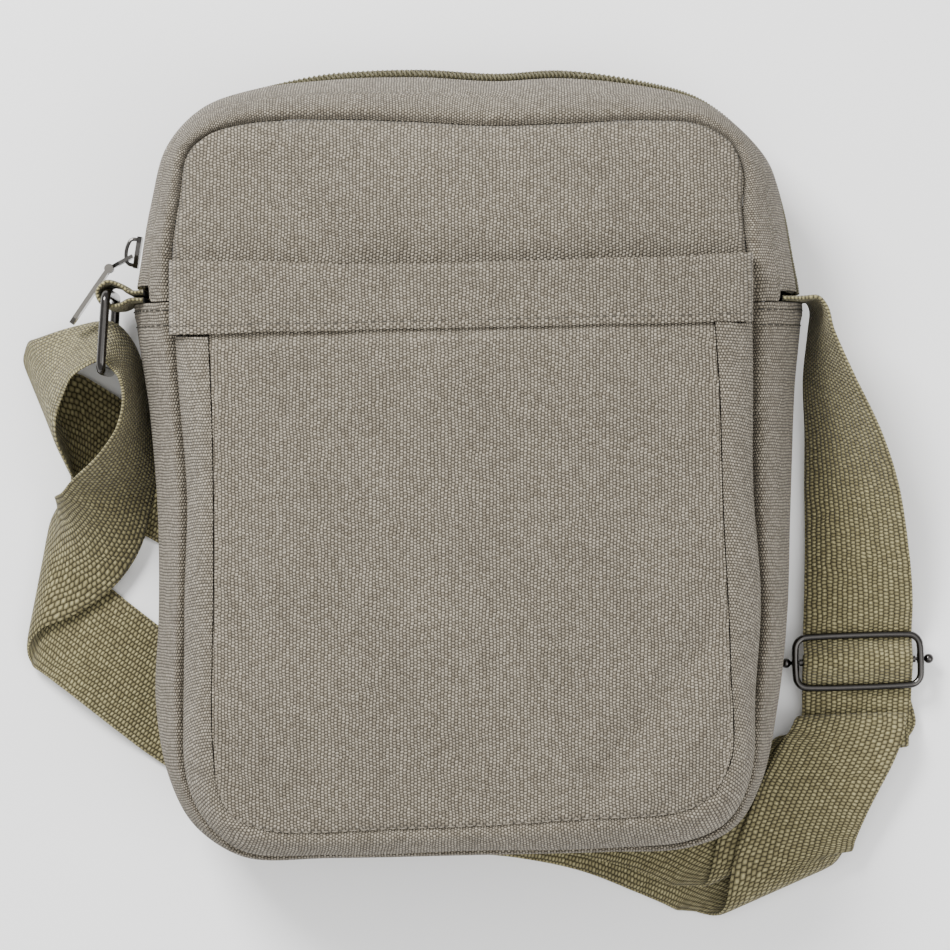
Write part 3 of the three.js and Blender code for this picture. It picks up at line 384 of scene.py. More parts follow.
def through_adjuster():
    """Under the top rail, over the bar and under the bottom rail, then folded in three"""
    pleat_bottom = -RAIL_REACH - WEBBING * 11.2
    pleat_top = -RAIL_REACH - WEBBING * 6.4
    low = UNDER_RAIL - WEBBING * 0.35
    middle = low + 2 * PLEAT_RADIUS
    high = middle + 2 * PLEAT_RADIUS + SEAM_GAP
    return [
        near_adjuster(0, RAIL_REACH, UNDER_RAIL),
        near_adjuster(0, 0, OVER_WRAP),
        near_adjuster(0, -RAIL_REACH, UNDER_RAIL),
        near_adjuster(-0.5, pleat_top, low),
        near_adjuster(-1, pleat_bottom, low),
        near_adjuster(-1.2, pleat_bottom - PLEAT_RADIUS, (low + middle) / 2),
        near_adjuster(-1.4, pleat_bottom, middle),
        near_adjuster(-2, pleat_top - WEBBING, middle),
        near_adjuster(-2.3, pleat_top, middle + SEAM_GAP),
        near_adjuster(-2.5, pleat_top + PLEAT_RADIUS, (middle + high) / 2),
        near_adjuster(-2.8, pleat_top, high, 0),
    ]


def round_the_bar():
    """The other end comes back under the bottom rail, wraps the bar and ends below itself"""
    flat = 180 + ADJUSTER.turn
    stations = [
        near_adjuster(0, -RAIL_REACH - WEBBING * 8, CUT_END_LEVEL + 0.9 * LAYER, flat),
        near_adjuster(0, -RAIL_REACH - WEBBING * 2.5, CUT_END_LEVEL + 0.96 * LAYER, flat),
        near_adjuster(0, -RAIL_REACH, CUT_END_LEVEL + 0.99 * LAYER, flat),
    ]
    for angle in np.radians(np.arange(115, -91, -41)):
        stations.append(near_adjuster(
            0, WRAP_RADIUS * math.cos(angle), BAR_LEVEL + WRAP_RADIUS * math.sin(angle), flat))
    stations.append(near_adjuster(0, -RAIL_REACH, CUT_END_LEVEL, flat))
    stations.append(near_adjuster(0, -RAIL_REACH - WEBBING * 4, CUT_END_LEVEL, flat))
    return stations


def station_place(s):
    return np.array([s.across * HALF_WIDTH, s.along * HALF_HEIGHT, s.level * FRONT_SEAM_LEVEL])


def station_width(s):
    turn, tilt = math.radians(s.turn), math.radians(s.tilt)
    return np.array([math.cos(turn) * math.cos(tilt), math.sin(turn) * math.cos(tilt), math.sin(tilt)])


STATIONS = (FROM_RIGHT_SEAM + through_adjuster() + PLEAT_TO_CORNER + FIRST_UNDER_BAG
            + FOLD_AND_RING + SECOND_UNDER_BAG + BACK_TO_ADJUSTER + round_the_bar())
strap_middle = Curve([station_place(s) for s in STATIONS])
strap_widths = Curve([station_width(s) for s in STATIONS])
print("strap", len(STATIONS), "stations,", round(strap_middle.length()), "mm")


def distance_to_stretch(stations, x, y):
    """How far places on the table are from the line through a stretch of stations"""
    nearest = np.full(np.shape(x), np.inf)
    corners = [station_place(s)[:2] for s in stations]
    for a, b in zip(corners, corners[1:]):
        run = b - a
        share = np.clip(((x - a[0]) * run[0] + (y - a[1]) * run[1]) / (run @ run), 0, 1)
        nearest = np.minimum(nearest, np.hypot(x - a[0] - share * run[0], y - a[1] - share * run[1]))
    return nearest


def lift_by_strap(x, y):
    edge = WEBBING_WIDTH / 2
    first = 1 - smoothstep(distance_to_stretch(FIRST_UNDER_BAG, x, y), edge * 1.3, edge * 2.7)
    second = 1 - smoothstep(distance_to_stretch(SECOND_UNDER_BAG, x, y), edge * 1.3, edge * 2.7)
    return (WEBBING + LAYER_GAP + SEAM_GAP) * (first + second)


# %% [markdown]
# ## Meshes
#
# A sheet is a grid whose corners are moved to their places by a function of u and v, from 0
# to 1, and then given its wall. Every sheet keeps a UV map in millimetres for its weave.


# %% Meshes
FLAT_ANGLE = math.radians(50)


def mesh_object(name, bm):
    mesh = bpy.data.meshes.new(name)
    bm.to_mesh(mesh)
    bm.free()
    mesh.polygons.foreach_set("use_smooth", np.ones(len(mesh.polygons), bool))
    mesh.set_sharp_from_angle(angle=FLAT_ANGLE)
    obj = bpy.data.objects.new(name, mesh)
    bpy.context.collection.objects.link(obj)
    return obj


def grid(place, steps_u, steps_v, weave):
    """A grid moved to place(u, v), with weave(u, v, places) as its UV map"""
    bm = bmesh.new()
    bmesh.ops.create_grid(bm, x_segments=steps_u, y_segments=steps_v, size=0.5)
    shares = np.array([v.co for v in bm.verts]) + 0.5
    u, v = shares[:, 0], shares[:, 1]
    places = place(u, v)
    threads = np.stack(weave(u, v, places), axis=-1)
    for vert, at in zip(bm.verts, places * MM):
        vert.co = at
    layer = bm.loops.layers.uv.new("weave")
    bm.verts.index_update()
    for face in bm.faces:
        for loop in face.loops:
            loop[layer].uv = threads[loop.vert.index]
    return bm


def thicken(obj, wall):
    """Gives a sheet its wall, half to each side, and applies it"""
    solid = obj.modifiers.new("wall", "SOLIDIFY")
    solid.thickness = wall * MM
    solid.offset = 0
    solid.use_even_offset = False
    evaluated = obj.evaluated_get(bpy.context.evaluated_depsgraph_get())
    old, obj.data = obj.data, bpy.data.meshes.new_from_object(evaluated)
    obj.modifiers.clear()
    bpy.data.meshes.remove(old)
    obj.data.set_sharp_from_angle(angle=FLAT_ANGLE)


def sheet(name, place, steps_u, steps_v, wall, weave):
    obj = mesh_object(name, grid(place, steps_u, steps_v, weave))
    thicken(obj, wall)
    return obj


def by_plan(u, v, places):
    """The weave lies square to the bag: its threads run along X and Y"""
    return places[:, 0], places[:, 1]


def by_size(length_u, length_v):
    """The weave follows the piece: across it first, then along it"""
    return lambda u, v, places: (v * length_v, u * length_u)


def sections_tube(name, rings, closed_ends=True, weave=None):
    """A skin over closed rings of points, each ring of the same count, with capped ends"""
    count, sides = rings.shape[:2]
    bm = bmesh.new()
    verts = [[bm.verts.new(p * MM) for p in ring] for ring in rings]
    layer = bm.loops.layers.uv.new("weave")
    for i in range(count - 1):
        for j in range(sides):
            k = (j + 1) % sides
            face = bm.faces.new((verts[i][j], verts[i + 1][j], verts[i + 1][k], verts[i][k]))
            if weave is not None:
                uvs = (weave[i][j], weave[i + 1][j], weave[i + 1][k], weave[i][k])
                for loop, uv in zip(face.loops, uvs):
                    loop[layer].uv = uv
    if closed_ends:
        bm.faces.new(verts[0])
        bm.faces.new(list(reversed(verts[-1])))
    bmesh.ops.recalc_face_normals(bm, faces=bm.faces)
    return mesh_object(name, bm)


def ribbon(name, middles, widths, reach, wall, columns=10):
    """Webbing: a flat band with rounded edges through sections, each a middle and a direction"""
    tangents = unit(np.gradient(middles, axis=0))
    thick = unit(np.cross(tangents, widths))
    across = np.sin(np.linspace(-math.pi / 2, math.pi / 2, columns + 1))
    across = np.sign(across) * np.abs(across) ** 0.7 / 2
    depth = wall / 2 * np.clip(1 - np.abs(2 * across) ** 14, 0, 1) ** 0.5
    loop_across = np.concatenate([across, across[-2:0:-1]])
    loop_depth = np.concatenate([depth, -depth[-2:0:-1]])
    rings = (middles[:, None] + widths[:, None] * (reach[:, None] * loop_across)[..., None]
             + thick[:, None] * loop_depth[None, :, None])
    threads = np.zeros(rings.shape[:2] + (2,))
    threads[..., 0] = (loop_across * WEBBING_WIDTH)[None]
    threads[..., 1] = walked(middles)[:, None]
    return sections_tube(name, rings, True, threads)


def wire(name, route, radius, closed=False, sides=12, steps=120):
    """A round wire along a curve"""
    shares = route.even_shares(steps + 1)
    if closed:
        shares = shares[:-1]
    places = route.at(shares)
    tangents = route.tangent(shares)
    normal = unit(np.cross(tangents[0], UP if abs(tangents[0][2]) < 0.9 else np.array([1.0, 0, 0])))
    normals = []
    for tangent in tangents:
        normal = unit(normal - tangent * (normal @ tangent))
        normals.append(normal)
    normals = np.array(normals)
    binormals = np.cross(tangents, normals)
    angles = np.linspace(0, 2 * math.pi, sides, endpoint=False)
    cosines, sines = np.cos(angles)[None, :, None], np.sin(angles)[None, :, None]
    rings = places[:, None] + radius * (normals[:, None] * cosines + binormals[:, None] * sines)
    if closed:
        rings = np.vstack([rings, rings[:1]])
    obj = sections_tube(name, rings, not closed)
    if closed:
        bm = bmesh.new()
        bm.from_mesh(obj.data)
        bmesh.ops.remove_doubles(bm, verts=bm.verts, dist=1e-6)
        bm.to_mesh(obj.data)
        bm.free()
    return obj


# %% [markdown]
# ## Front and back panels
#
# The front panel is domed and fuller towards its top. Its edge turns down into the seam, so
# the seam reads as a dark groove. Small dents come from a short table.

# %% Front and back panels
PIECES = {}
Dent = namedtuple("Dent", "from_across from_along to_across to_along width depth")
DENTS = [
    Dent(0.383, -0.78, 0.674, -0.459, 0.06, 3.0),
    Dent(0.52, -0.82, 0.72, -0.62, 0.05, -1.4),
    Dent(-0.74, -0.6, -0.68, -0.74, 0.06, 1.2),
    Dent(-0.609, 0.756, -0.404, 0.56, 0.07, 1.5),
    Dent(-0.5, 0.8, -0.3, 0.62, 0.08, -1.0),
    Dent(0.3, 0.78, 0.62, 0.62, 0.08, 0.6),
    Dent(-0.2, -0.2, 0.25, -0.5, 0.12, 0.5),
    Dent(-0.7, -0.1, -0.62, -0.4, 0.06, 0.6),
]


def dented(x, y):
    """How far the soft folds of a panel press its cloth in"""
    pressed = np.zeros(np.shape(x))
    for d in DENTS:
        a = np.array([d.from_across * HALF_WIDTH, d.from_along * HALF_HEIGHT])
        run = np.array([d.to_across * HALF_WIDTH, d.to_along * HALF_HEIGHT]) - a
        share = ((x - a[0]) * run[0] + (y - a[1]) * run[1]) / (run @ run)
        clipped = np.clip(share, 0, 1)
        away = np.hypot(x - a[0] - clipped * run[0], y - a[1] - clipped * run[1])
        pressed += groove(away, d.depth, d.width * HALF_WIDTH)
    return pressed


def soft_waves(x, y):
    """The slow unevenness of washed canvas"""
    return (0.35 * np.sin(x / 23 + 1.3) * np.sin(y / 31 + 0.4)
            + 0.2 * np.sin(x / 9.5 + y / 14) + 0.15 * np.sin(x / 13 - y / 8 + 2))


def edge_distance(u, v, width, height):
    return np.minimum(np.minimum(u, 1 - u) * width, np.minimum(v, 1 - v) * height)


def front_panel(u, v):
    place = seam_panel(lambda row, out: on_seam(front_seam, row, out), u, v, 0.75)
    edge = edge_distance(u, v, BAG_WIDTH * 0.85, BAG_HEIGHT * 0.92)
    place[..., 2] += FRONT_DOME * (0.72 + 0.28 * v) * fullness(u, v, 2.4)
    place[..., 2] -= groove(edge, 2.6, 2.1)
    puckers = np.sin((place[..., 0] + place[..., 1]) / 2.1) * np.exp(-edge / 5)
    inner = smoothstep(edge, 0, 12)
    x, y = place[..., 0], place[..., 1]
    place[..., 2] += 0.12 * puckers + inner * (soft_waves(x, y) - dented(x, y)) * smoothstep(y, 62, 74)
    return place


PIECES["front_panel"] = sheet("front_panel_cloth", front_panel, 170, 200, CANVAS, by_plan)


def back_panel(u, v):
    place = seam_panel(back_seam_point, u, v, 0.75)
    flat = smoothstep(fullness(u, v, 2), 0, 0.3)
    lift = lift_by_strap(place[..., 0], place[..., 1])
    place[..., 2] = CANVAS / 2 + (BACK_SEAM_LEVEL - CANVAS / 2) * (1 - flat) + lift
    return place


PIECES["back_panel"] = sheet("back_panel_cloth", back_panel, 110, 130, CANVAS, by_plan)
print("panels made")

# %% [markdown]
# ## The side wall and the zipper
#
# The wall goes from the back seam out over the widest line and in to the front seam. At the
# two tabs it is in two lengths, and the webbing comes out between their folded ends.


# %% The side wall and the zipper
# How far the back strip stands out past the front one over the top, which these rows span
TOP_TILT = 1.8
TOP_ROWS = (5.0, 6.0, 11.6, 12.6)
# The gusset's length and the zip strips'
WALL_LENGTH = 620
ZIP_LENGTH = 400
WALL_GROOVE = 3.0
# A folded end is raised over these rows from it
LIP_ROWS = (0.14, 0.2)


def over_top(row):
    """1 over the bag's top and 0 down its sides"""
    return smoothstep(row, *TOP_ROWS[:2]) * (1 - smoothstep(row, *TOP_ROWS[2:]))


def side_wall(row, v):
    """The wall from the back seam out to its widest line and in to the front seam"""
    out = 0.55
    back = back_seam_point(row, out)
    back[..., 2] += lift_by_strap(back[..., 0], back[..., 1])
    front = on_seam(front_seam, row, out)
    middle = on_seam(middle_line, row, -CANVAS / 2)
    bulge = np.sin(math.pi * np.clip(v, 0, 1))[..., None]
    share = ((1 - np.cos(math.pi * np.clip(v, 0, 1))) / 2)[..., None]
    place = lerp(back, front, share) + (middle - (back + front) / 2) * bulge
    place[..., 2] -= groove((1 - v) * SIDE_WALK, WALL_GROOVE, 2.3)
    outwards = on_seam(middle_line, row, 1.0) - on_seam(middle_line, row, 0.0)
    tilted = TOP_TILT * over_top(row) * (1 - smoothstep(v, 0.44, 0.56)) * smoothstep(v, 0, 0.3)
    return place + outwards * tilted[..., None]


def wall_outward(row, v):
    along = side_wall(row + 0.03, v) - side_wall(row - 0.03, v)
    across = side_wall(row, v + 0.01) - side_wall(row, v - 0.01)
    return unit(np.cross(across, along))


def rows_for(length, row, direction):
    reach = 0.2 * direction
    ends = on_seam(middle_line, np.array([row, row + reach]))
    return length * reach / float(np.linalg.norm(ends[1] - ends[0]))


LEFT_SLOT = 2 * WEBBING + 8 * SEAM_GAP
RIGHT_SLOT = WEBBING + 6 * SEAM_GAP
ZIP_FROM = LEFT_TAB + rows_for(LEFT_SLOT, LEFT_TAB, 1)
ZIP_TO = RIGHT_TAB + rows_for(RIGHT_SLOT, RIGHT_TAB, -1)
COIL_HALF = COIL_WIDTH / 2 / SIDE_WALK
STRIP_EDGE = 0.5 - COIL_HALF - 0.05
TAPE_REACH = STRIP_EDGE - 0.06
TAPE_DEPTH = -(CANVAS / 2 + SEAM_GAP + TAPE / 2)
ZIP_SINK = 0.6
TAB_LEVEL = 0.54 * FRONT_SEAM_LEVEL
TAB_CLOSE = 0.93


def tape_depth(row):
    """The zipper lies deeper between its strips down the sides than over the top"""
    return TAPE_DEPTH - ZIP_SINK * (1 - over_top(row))


def webbing_share(place):
    """1 where the tab's webbing passes the wall, and 0 beyond its edges"""
    level = np.abs(place[..., 2] - TAB_LEVEL)
    return 1 - smoothstep(level, WEBBING_WIDTH / 2 - 0.4, WEBBING_WIDTH / 2 + 0.5)


def wall_band(row_from, row_to, share_from, share_to, sunk=False, closes=(0.0, 0.0), lip=0.0):
    """A length of the wall. Its ends close in beyond the webbing, and lip lifts both ends.
    A sunk one lies at the zipper's depth"""
    rows = np.linspace(row_from, row_to, 600)
    lengths = walked(on_seam(middle_line, rows, np.zeros(600)))

    def place(u, v):
        across = lerp(share_from, share_to, v)
        row = np.interp(u * lengths[-1], lengths, rows)
        free = 1 - webbing_share(side_wall(row, across))
        row = row + free * (closes[0] * (1 - u) + closes[1] * u)
        at = side_wall(row, across)
        near = np.minimum(u, 1 - u) * abs(row_to - row_from)
        raised = lip * (1 - smoothstep(near, *LIP_ROWS)) + (tape_depth(row) if sunk else 0)
        return at + wall_outward(row, across) * raised[..., None]
    return place


def wall_waves(place, amount):
    """Slow swells along a length of the wall"""
    def waved(u, v):
        at = place(u, v)
        swell = amount * np.sin(math.pi * v) * (np.sin(u * 31) + 0.6 * np.sin(u * 57 + 1))
        at[..., 2] += swell * 0.4
        return at
    return waved


left_close = (ZIP_FROM - LEFT_TAB) * TAB_CLOSE
right_close = (RIGHT_TAB - ZIP_TO) * TAB_CLOSE
around_bottom = wall_band(ROWS + LEFT_TAB, RIGHT_TAB, 0, 1, lip=0.5)
PIECES["body_gusset"] = sheet(
    "gusset_cloth", wall_waves(around_bottom, 0.5), 420, 60, CANVAS, by_size(WALL_LENGTH, SIDE_WALK))
zip_closes = (right_close, -left_close)
back_strip = wall_band(ZIP_TO, ZIP_FROM, 0, STRIP_EDGE, closes=zip_closes)
PIECES["zip_strip_back"] = sheet("back_strip_cloth", back_strip, 320, 24, CANVAS, by_size(ZIP_LENGTH, 25))
front_strip = wall_band(ZIP_TO, ZIP_FROM, 1 - STRIP_EDGE, 1, closes=zip_closes)
PIECES["zip_strip_front"] = sheet(
    "front_strip_cloth", wall_waves(front_strip, 0.4), 320, 28, CANVAS, by_size(ZIP_LENGTH, 25))
for side, low, high in (("back", TAPE_REACH, 0.5 - 0.003), ("front", 0.5 + 0.003, 1 - TAPE_REACH)):
    tape = wall_band(ZIP_TO, ZIP_FROM, low, high, sunk=True)
    PIECES["zipper_tape_" + side] = sheet("tape_" + side, tape, 200, 6, TAPE, by_size(ZIP_LENGTH, 8))


COIL_TURNS = 268
COIL_STRAND = 0.36
COIL_ASIDE = 1.15
COIL_REACH = 1.25
COIL_RISE = 0.7


def coil_route(side):
    """One side of the coil: a flat spiral along the zipper"""
    t = np.linspace(0, 1, COIL_TURNS * 10 + 1)
    row = lerp(ZIP_TO, ZIP_FROM, t)
    angle = t * COIL_TURNS * 2 * math.pi + (0 if side > 0 else math.pi)
    v = np.full(t.shape, 0.5)
    run = unit(side_wall(row - 0.02, v) - side_wall(row + 0.02, v))
    out = wall_outward(row, v)
    level = tape_depth(row) + TAPE / 2 + SEAM_GAP + COIL_HEIGHT / 2
    middle = side_wall(row, v) + out * level[:, None]
    across = np.cross(out, run)
    aside = side * COIL_ASIDE + np.cos(angle) * COIL_REACH
    return middle + across * aside[:, None] + out * (np.sin(angle) * COIL_RISE)[:, None]


def spiral(name, side):
    points = coil_route(side)
    curve = bpy.data.curves.new(name, "CURVE")
    curve.dimensions = "3D"
    curve.bevel_depth = COIL_STRAND * MM
    curve.bevel_resolution = 1
    line = curve.splines.new("POLY")
    line.points.add(len(points) - 1)
    line.points.foreach_set("co", np.hstack([points * MM, np.ones((len(points), 1))]).ravel())
    loose = bpy.data.objects.new(name, curve)
    bpy.context.collection.objects.link(loose)
    mesh = bpy.data.meshes.new_from_object(loose.evaluated_get(bpy.context.evaluated_depsgraph_get()))
    bpy.data.objects.remove(loose)
    mesh.name = name
    obj = bpy.data.objects.new(name, mesh)
    bpy.context.collection.objects.link(obj)
    return obj


PIECES["zipper_coil"] = spiral("coil_front", 1)
coil_back = spiral("coil_back", -1)
print("side wall and zipper made")

# %% [markdown]
# ## The front pocket

# %% The front pocket
Seam = namedtuple("Seam", "across along")
POCKET_SEAM = [
    Seam(-0.757, 0.32),
    Seam(-0.745, 0.06),
    Seam(-0.742, -0.3),
    Seam(-0.744, -0.7),
    Seam(-0.715, -0.84),
    Seam(-0.615, -0.9),
    Seam(-0.2, -0.902),
    Seam(0.29, -0.881),
    Seam(0.66, -0.845),
    Seam(0.758, -0.745),
    Seam(0.762, -0.5),
    Seam(0.74, -0.1),
    Seam(0.73, 0.18),
    Seam(0.716, 0.355),
]
POCKET_BOTTOM_LEFT = 4.4 / (len(POCKET_SEAM) - 1)
POCKET_BOTTOM_RIGHT = 8.4 / (len(POCKET_SEAM) - 1)
DOME_ROUNDNESS = 2.6
POCKET_WIDTH = 170
POCKET_HEIGHT = 168
POCKET_WALK = 17
POCKET_INSET = 0.18
pocket_seam = Curve([(s.across * HALF_WIDTH, s.along * HALF_HEIGHT, POCKET_LEVEL) for s in POCKET_SEAM])


def pocket_seam_point(t, out):
    away = unit(np.cross(pocket_seam.tangent(t), UP))
    return pocket_seam.at(t) + away * np.asarray(out, float)[..., None]


def pocket_face(u, v):
    edge = seam_edge(pocket_seam_point, POCKET_INSET)

    def top(share):
        ends = pocket_seam_point(np.array([0.0, 1.0]), np.full(2, -POCKET_INSET))
        return lerp(ends[:1], ends[1:], np.asarray(share)[..., None])

    place = patch(edge(POCKET_BOTTOM_LEFT, POCKET_BOTTOM_RIGHT), top,
                  edge(POCKET_BOTTOM_LEFT, 0), edge(POCKET_BOTTOM_RIGHT, 1), u, v)
    rise = (1 - np.abs(2 * u - 1) ** DOME_ROUNDNESS) * (1 - (1 - v) ** 3)
    place[..., 2] += POCKET_DOME * rise
    side, foot = np.minimum(u, 1 - u) * POCKET_WIDTH, v * POCKET_HEIGHT
    edge_mm = np.minimum(side, foot)
    x, y = place[..., 0], place[..., 1]
    inner = smoothstep(edge_mm, 0, 14)
    place[..., 2] -= groove(side, 0.15, 1.2) + groove(foot, 1.7, 1.8)
    place[..., 2] -= 1.9 * smoothstep(v, 0.975, 0.988)
    place[..., 1] += 2.2 * smoothstep(v, 0.975, 1)
    place[..., 2] += 0.25 * np.sin((x + y) / 2.3) * np.exp(-edge_mm / 4)
    place[..., 2] += inner * (soft_waves(x, y) - dented(x, y)) * (1 - smoothstep(v, 0.9, 1))
    return place


PIECES["pocket_face"] = sheet("pocket_cloth", pocket_face, 150, 150, CANVAS, by_plan)

POCKET_FOOT_LEFT = ROWS - 0.32
POCKET_FOOT_RIGHT = RIGHT_TAB + 0.27
foot_rows = np.linspace(POCKET_FOOT_LEFT, POCKET_FOOT_RIGHT, 49)
foot_line = Curve(on_seam(front_seam, foot_rows, np.full(foot_rows.shape, -CANVAS * 1.6)), steps=8)
FOOT_SHARES = foot_line.even_shares(400)
HEAD_SHARES = pocket_seam.even_shares(400)


def pocket_gusset(u, v):
    v = 1 - v
    even = np.linspace(0, 1, 400)
    foot_at = np.interp(u, even, FOOT_SHARES)
    foot = foot_line.at(foot_at)
    foot[..., 2] += CANVAS + 2 * SEAM_GAP + FRONT_DOME * 0.05
    head = pocket_seam_point(np.interp(u, even, HEAD_SHARES), np.full(u.shape, 0.42))
    away = unit(np.cross(foot_line.tangent(foot_at), UP))
    share = (1 - np.cos(math.pi * v)) / 2
    place = lerp(foot, head, share[..., None]) + away * (4.2 * np.sin(math.pi * v))[..., None]
    at_foot = 1 - smoothstep(head[..., 1], -0.86 * HALF_HEIGHT, -0.74 * HALF_HEIGHT)
    place[..., 2] -= groove((1 - v) * POCKET_WALK, 0.2 + 1.3 * at_foot, 1.5)
    place += away * (0.35 * np.sin(u * 47) * np.sin(math.pi * v))[..., None]
    return place


PIECES["pocket_gusset"] = sheet("pocket_side_cloth", pocket_gusset, 330, 18, CANVAS, by_size(560, 20))

Band = namedtuple("Band", "left_end left_foot left_head right_end right_foot right_head sag")
BAND = Band(-0.872, 0.327, 0.51, 0.826, 0.361, 0.532, 0.02)
HEM = CANVAS + 0.4
BAND_HEIGHT = 24
BAND_STITCH = 0.1


def pocket_band(u, v):
    bend = math.pi * (1 - u)
    aside = np.sign(np.cos(bend)) * np.abs(np.cos(bend)) ** (1 / 3)
    rise = np.abs(np.sin(bend)) ** (1 / 3)
    share = (aside + 1) / 2
    foot = lerp(BAND.left_foot, BAND.right_foot, share)
    head = lerp(BAND.left_head, BAND.right_head, share) - BAND.sag * (1 - aside * aside)
    low = FRONT_SEAM_LEVEL + CANVAS + 2 * SEAM_GAP
    dome = POCKET_DOME * (1 - np.abs(aside) ** DOME_ROUNDNESS)
    z = low + (POCKET_LEVEL - low) * rise + dome
    x = lerp(BAND.left_end, BAND.right_end, share) * HALF_WIDTH
    y = lerp(foot, head, v) * HALF_HEIGHT
    y = y + 0.35 * np.sin(x / 17) * np.sin(math.pi * v * 0.5) + 0.15 * np.sin(x / 6)
    hem = groove((1 - v) * BAND_HEIGHT, 0.45, 1.2) + groove(v * BAND_HEIGHT, 0.7, 1.0)
    stitched = groove((v - BAND_STITCH) * BAND_HEIGHT, 0.35, 0.9)
    z = z - hem - stitched + 0.3 * np.sin(x / 19 + 2) * np.sin(math.pi * v)
    return np.stack([x, y, z], axis=-1)


PIECES["pocket_band"] = sheet("band_cloth", pocket_band, 300, 40, HEM, by_plan)
print("pocket made")

# %% [markdown]
# ## Webbing: the strap and the ring's tab


# %% Webbing
def strap_shares():
    """Shares of the strap's run: one at each station, more where it bends or runs far"""
    last = len(STATIONS) - 1
    ends = np.linspace(0, 1, last + 1)
    tangents, places = strap_middle.tangent(ends), strap_middle.at(ends)
    widths = unit(strap_widths.at(ends))
    shares = [0.0]
    for i in range(last):
        turn = max(math.acos(min(1, float(tangents[i] @ tangents[i + 1]))),
                   math.acos(min(1, float(widths[i] @ widths[i + 1]))))
        run = float(np.linalg.norm(places[i + 1] - places[i]))
        steps = max(4, math.ceil(turn / 0.09), math.ceil(run / 1.8))
        shares.extend((i + (j + 1) / steps) / last for j in range(steps))
    return np.array(shares)


shares = strap_shares()
widths = unit(strap_widths.at(shares))
square = np.linalg.norm(np.cross(widths, strap_middle.tangent(shares)), axis=1)
reach = WEBBING_WIDTH / np.maximum(square, 0.86)
reach = np.convolve(np.pad(reach, 4, mode="edge"), np.full(9, 1 / 9), mode="valid")
PIECES["shoulder_strap"] = ribbon("strap_webbing", strap_middle.at(shares), widths, reach, WEBBING, 16)

TAB_LOOP = [
    Seam(-0.965, 0.4375),
    Seam(-1.005, 0.4385),
    Seam(-1.035, 0.455),
    Seam(-1.075, 0.463),
    Seam(-1.101, 0.438),
    Seam(-1.083, 0.408),
    Seam(-1.04, 0.404),
    Seam(-1.005, 0.4175),
    Seam(-0.965, 0.4185),
]
tab_loop = Curve([(s.across * HALF_WIDTH, s.along * HALF_HEIGHT, TAB_LEVEL) for s in TAB_LOOP])
tab_middles = tab_loop.at(tab_loop.even_shares(90))
tab_widths = np.repeat([[0.0, 0.0, -1.0]], 90, axis=0)
tab_reach = np.full(90, float(WEBBING_WIDTH))
PIECES["ring_tab"] = ribbon("tab_webbing", tab_middles, tab_widths, tab_reach, WEBBING, 16)
print("webbing made")

# %% [markdown]
# ## Metal rings and the adjuster


# %% Metal rings and the adjuster
def heading(degrees):
    return np.array([math.cos(math.radians(degrees)), math.sin(math.radians(degrees)), 0.0])


def rounded_loop(middle, sideways, upwards, length, height, corner, thickness):
    """A rounded rectangle in the plane of two directions, as a closed curve"""
    half_length, half_height = (length - thickness) / 2, (height - thickness) / 2
    points = []
    for right, up, start in ((1, 1, 0), (-1, 1, 90), (-1, -1, 180), (1, -1, 270)):
        for angle in np.radians(start + np.array([0, 22.5, 45, 67.5, 90])):
            points.append(middle
                          + sideways * (right * (half_length - corner) + corner * math.cos(angle))
                          + upwards * (up * (half_height - corner) + corner * math.sin(angle)))
    return Curve(points, closed=True, steps=16)


RING_TOP = Seam(-1.073, 0.4345)
ring_lean = heading(266)
ring_top = np.array([RING_TOP.across * HALF_WIDTH, RING_TOP.along * HALF_HEIGHT, TAB_LEVEL])
ring_length = WEBBING_WIDTH + 2 * RING_WIRE + 4 * SEAM_GAP
ring_loop = rounded_loop(
    ring_top + ring_lean * RING_DROP / 2, UP, ring_lean,
    ring_length, RING_DROP + RING_WIRE, RING_WIRE, RING_WIRE)
PIECES["side_ring"] = wire("ring_metal", ring_loop, RING_WIRE / 2, closed=True, sides=20, steps=220)

across_bar = heading(ADJUSTER.turn)
along_bar = heading(ADJUSTER.turn + 90)
adjuster_place = np.array([ADJUSTER.across * HALF_WIDTH, ADJUSTER.along * HALF_HEIGHT, 0.0])
bar_middle = adjuster_place + UP * BAR_LEVEL
slide_loop = rounded_loop(
    adjuster_place + UP * SLIDE_LEVEL, across_bar, along_bar,
    SLIDE_LENGTH, SLIDE_HEIGHT, SLIDE_CORNER, SLIDE_WIRE)
EYE_REACH = (SLIDE_LENGTH - SLIDE_WIRE) / 2
BAR_NECK = BAR_WIRE / 4


def eye(side):
    """The eye that holds the bar: the frame's wire coiled once round its neck"""
    centre = bar_middle + across_bar * side * EYE_REACH
    around = [centre + along_bar * 1.75 * math.cos(a) + UP * 1.75 * math.sin(a)
              for a in np.linspace(0, 2 * math.pi, 13)[:-1]]
    return wire("eye_metal", Curve(around, closed=True, steps=8), 0.85, closed=True, sides=12, steps=48)


def turned(name, profile, sides=32):
    """A turned bar through rows of reach and radius"""
    rings = []
    for reach_mm, radius in profile:
        angles = np.linspace(0, 2 * math.pi, sides, endpoint=False)
        rings.append(bar_middle + across_bar * reach_mm
                     + radius * (along_bar * np.cos(angles)[:, None] + UP * np.sin(angles)[:, None]))
    return sections_tube(name, np.array(rings))


def bar_profile():
    shoulder = EYE_REACH - SLIDE_WIRE / 2 - SEAM_GAP
    ball_from = EYE_REACH + SLIDE_WIRE / 2 + SEAM_GAP
    half = [(shoulder, BAR_WIRE / 2), (shoulder + 0.1, BAR_NECK), (ball_from, BAR_NECK)]
    for angle in np.linspace(-65, 88, 12):
        bend = math.radians(angle)
        half.append((ball_from + BAR_BALL / 2 * (1 + math.sin(bend)), BAR_BALL / 2 * math.cos(bend)))
    return [(-reach_mm, radius) for reach_mm, radius in reversed(half)] + half


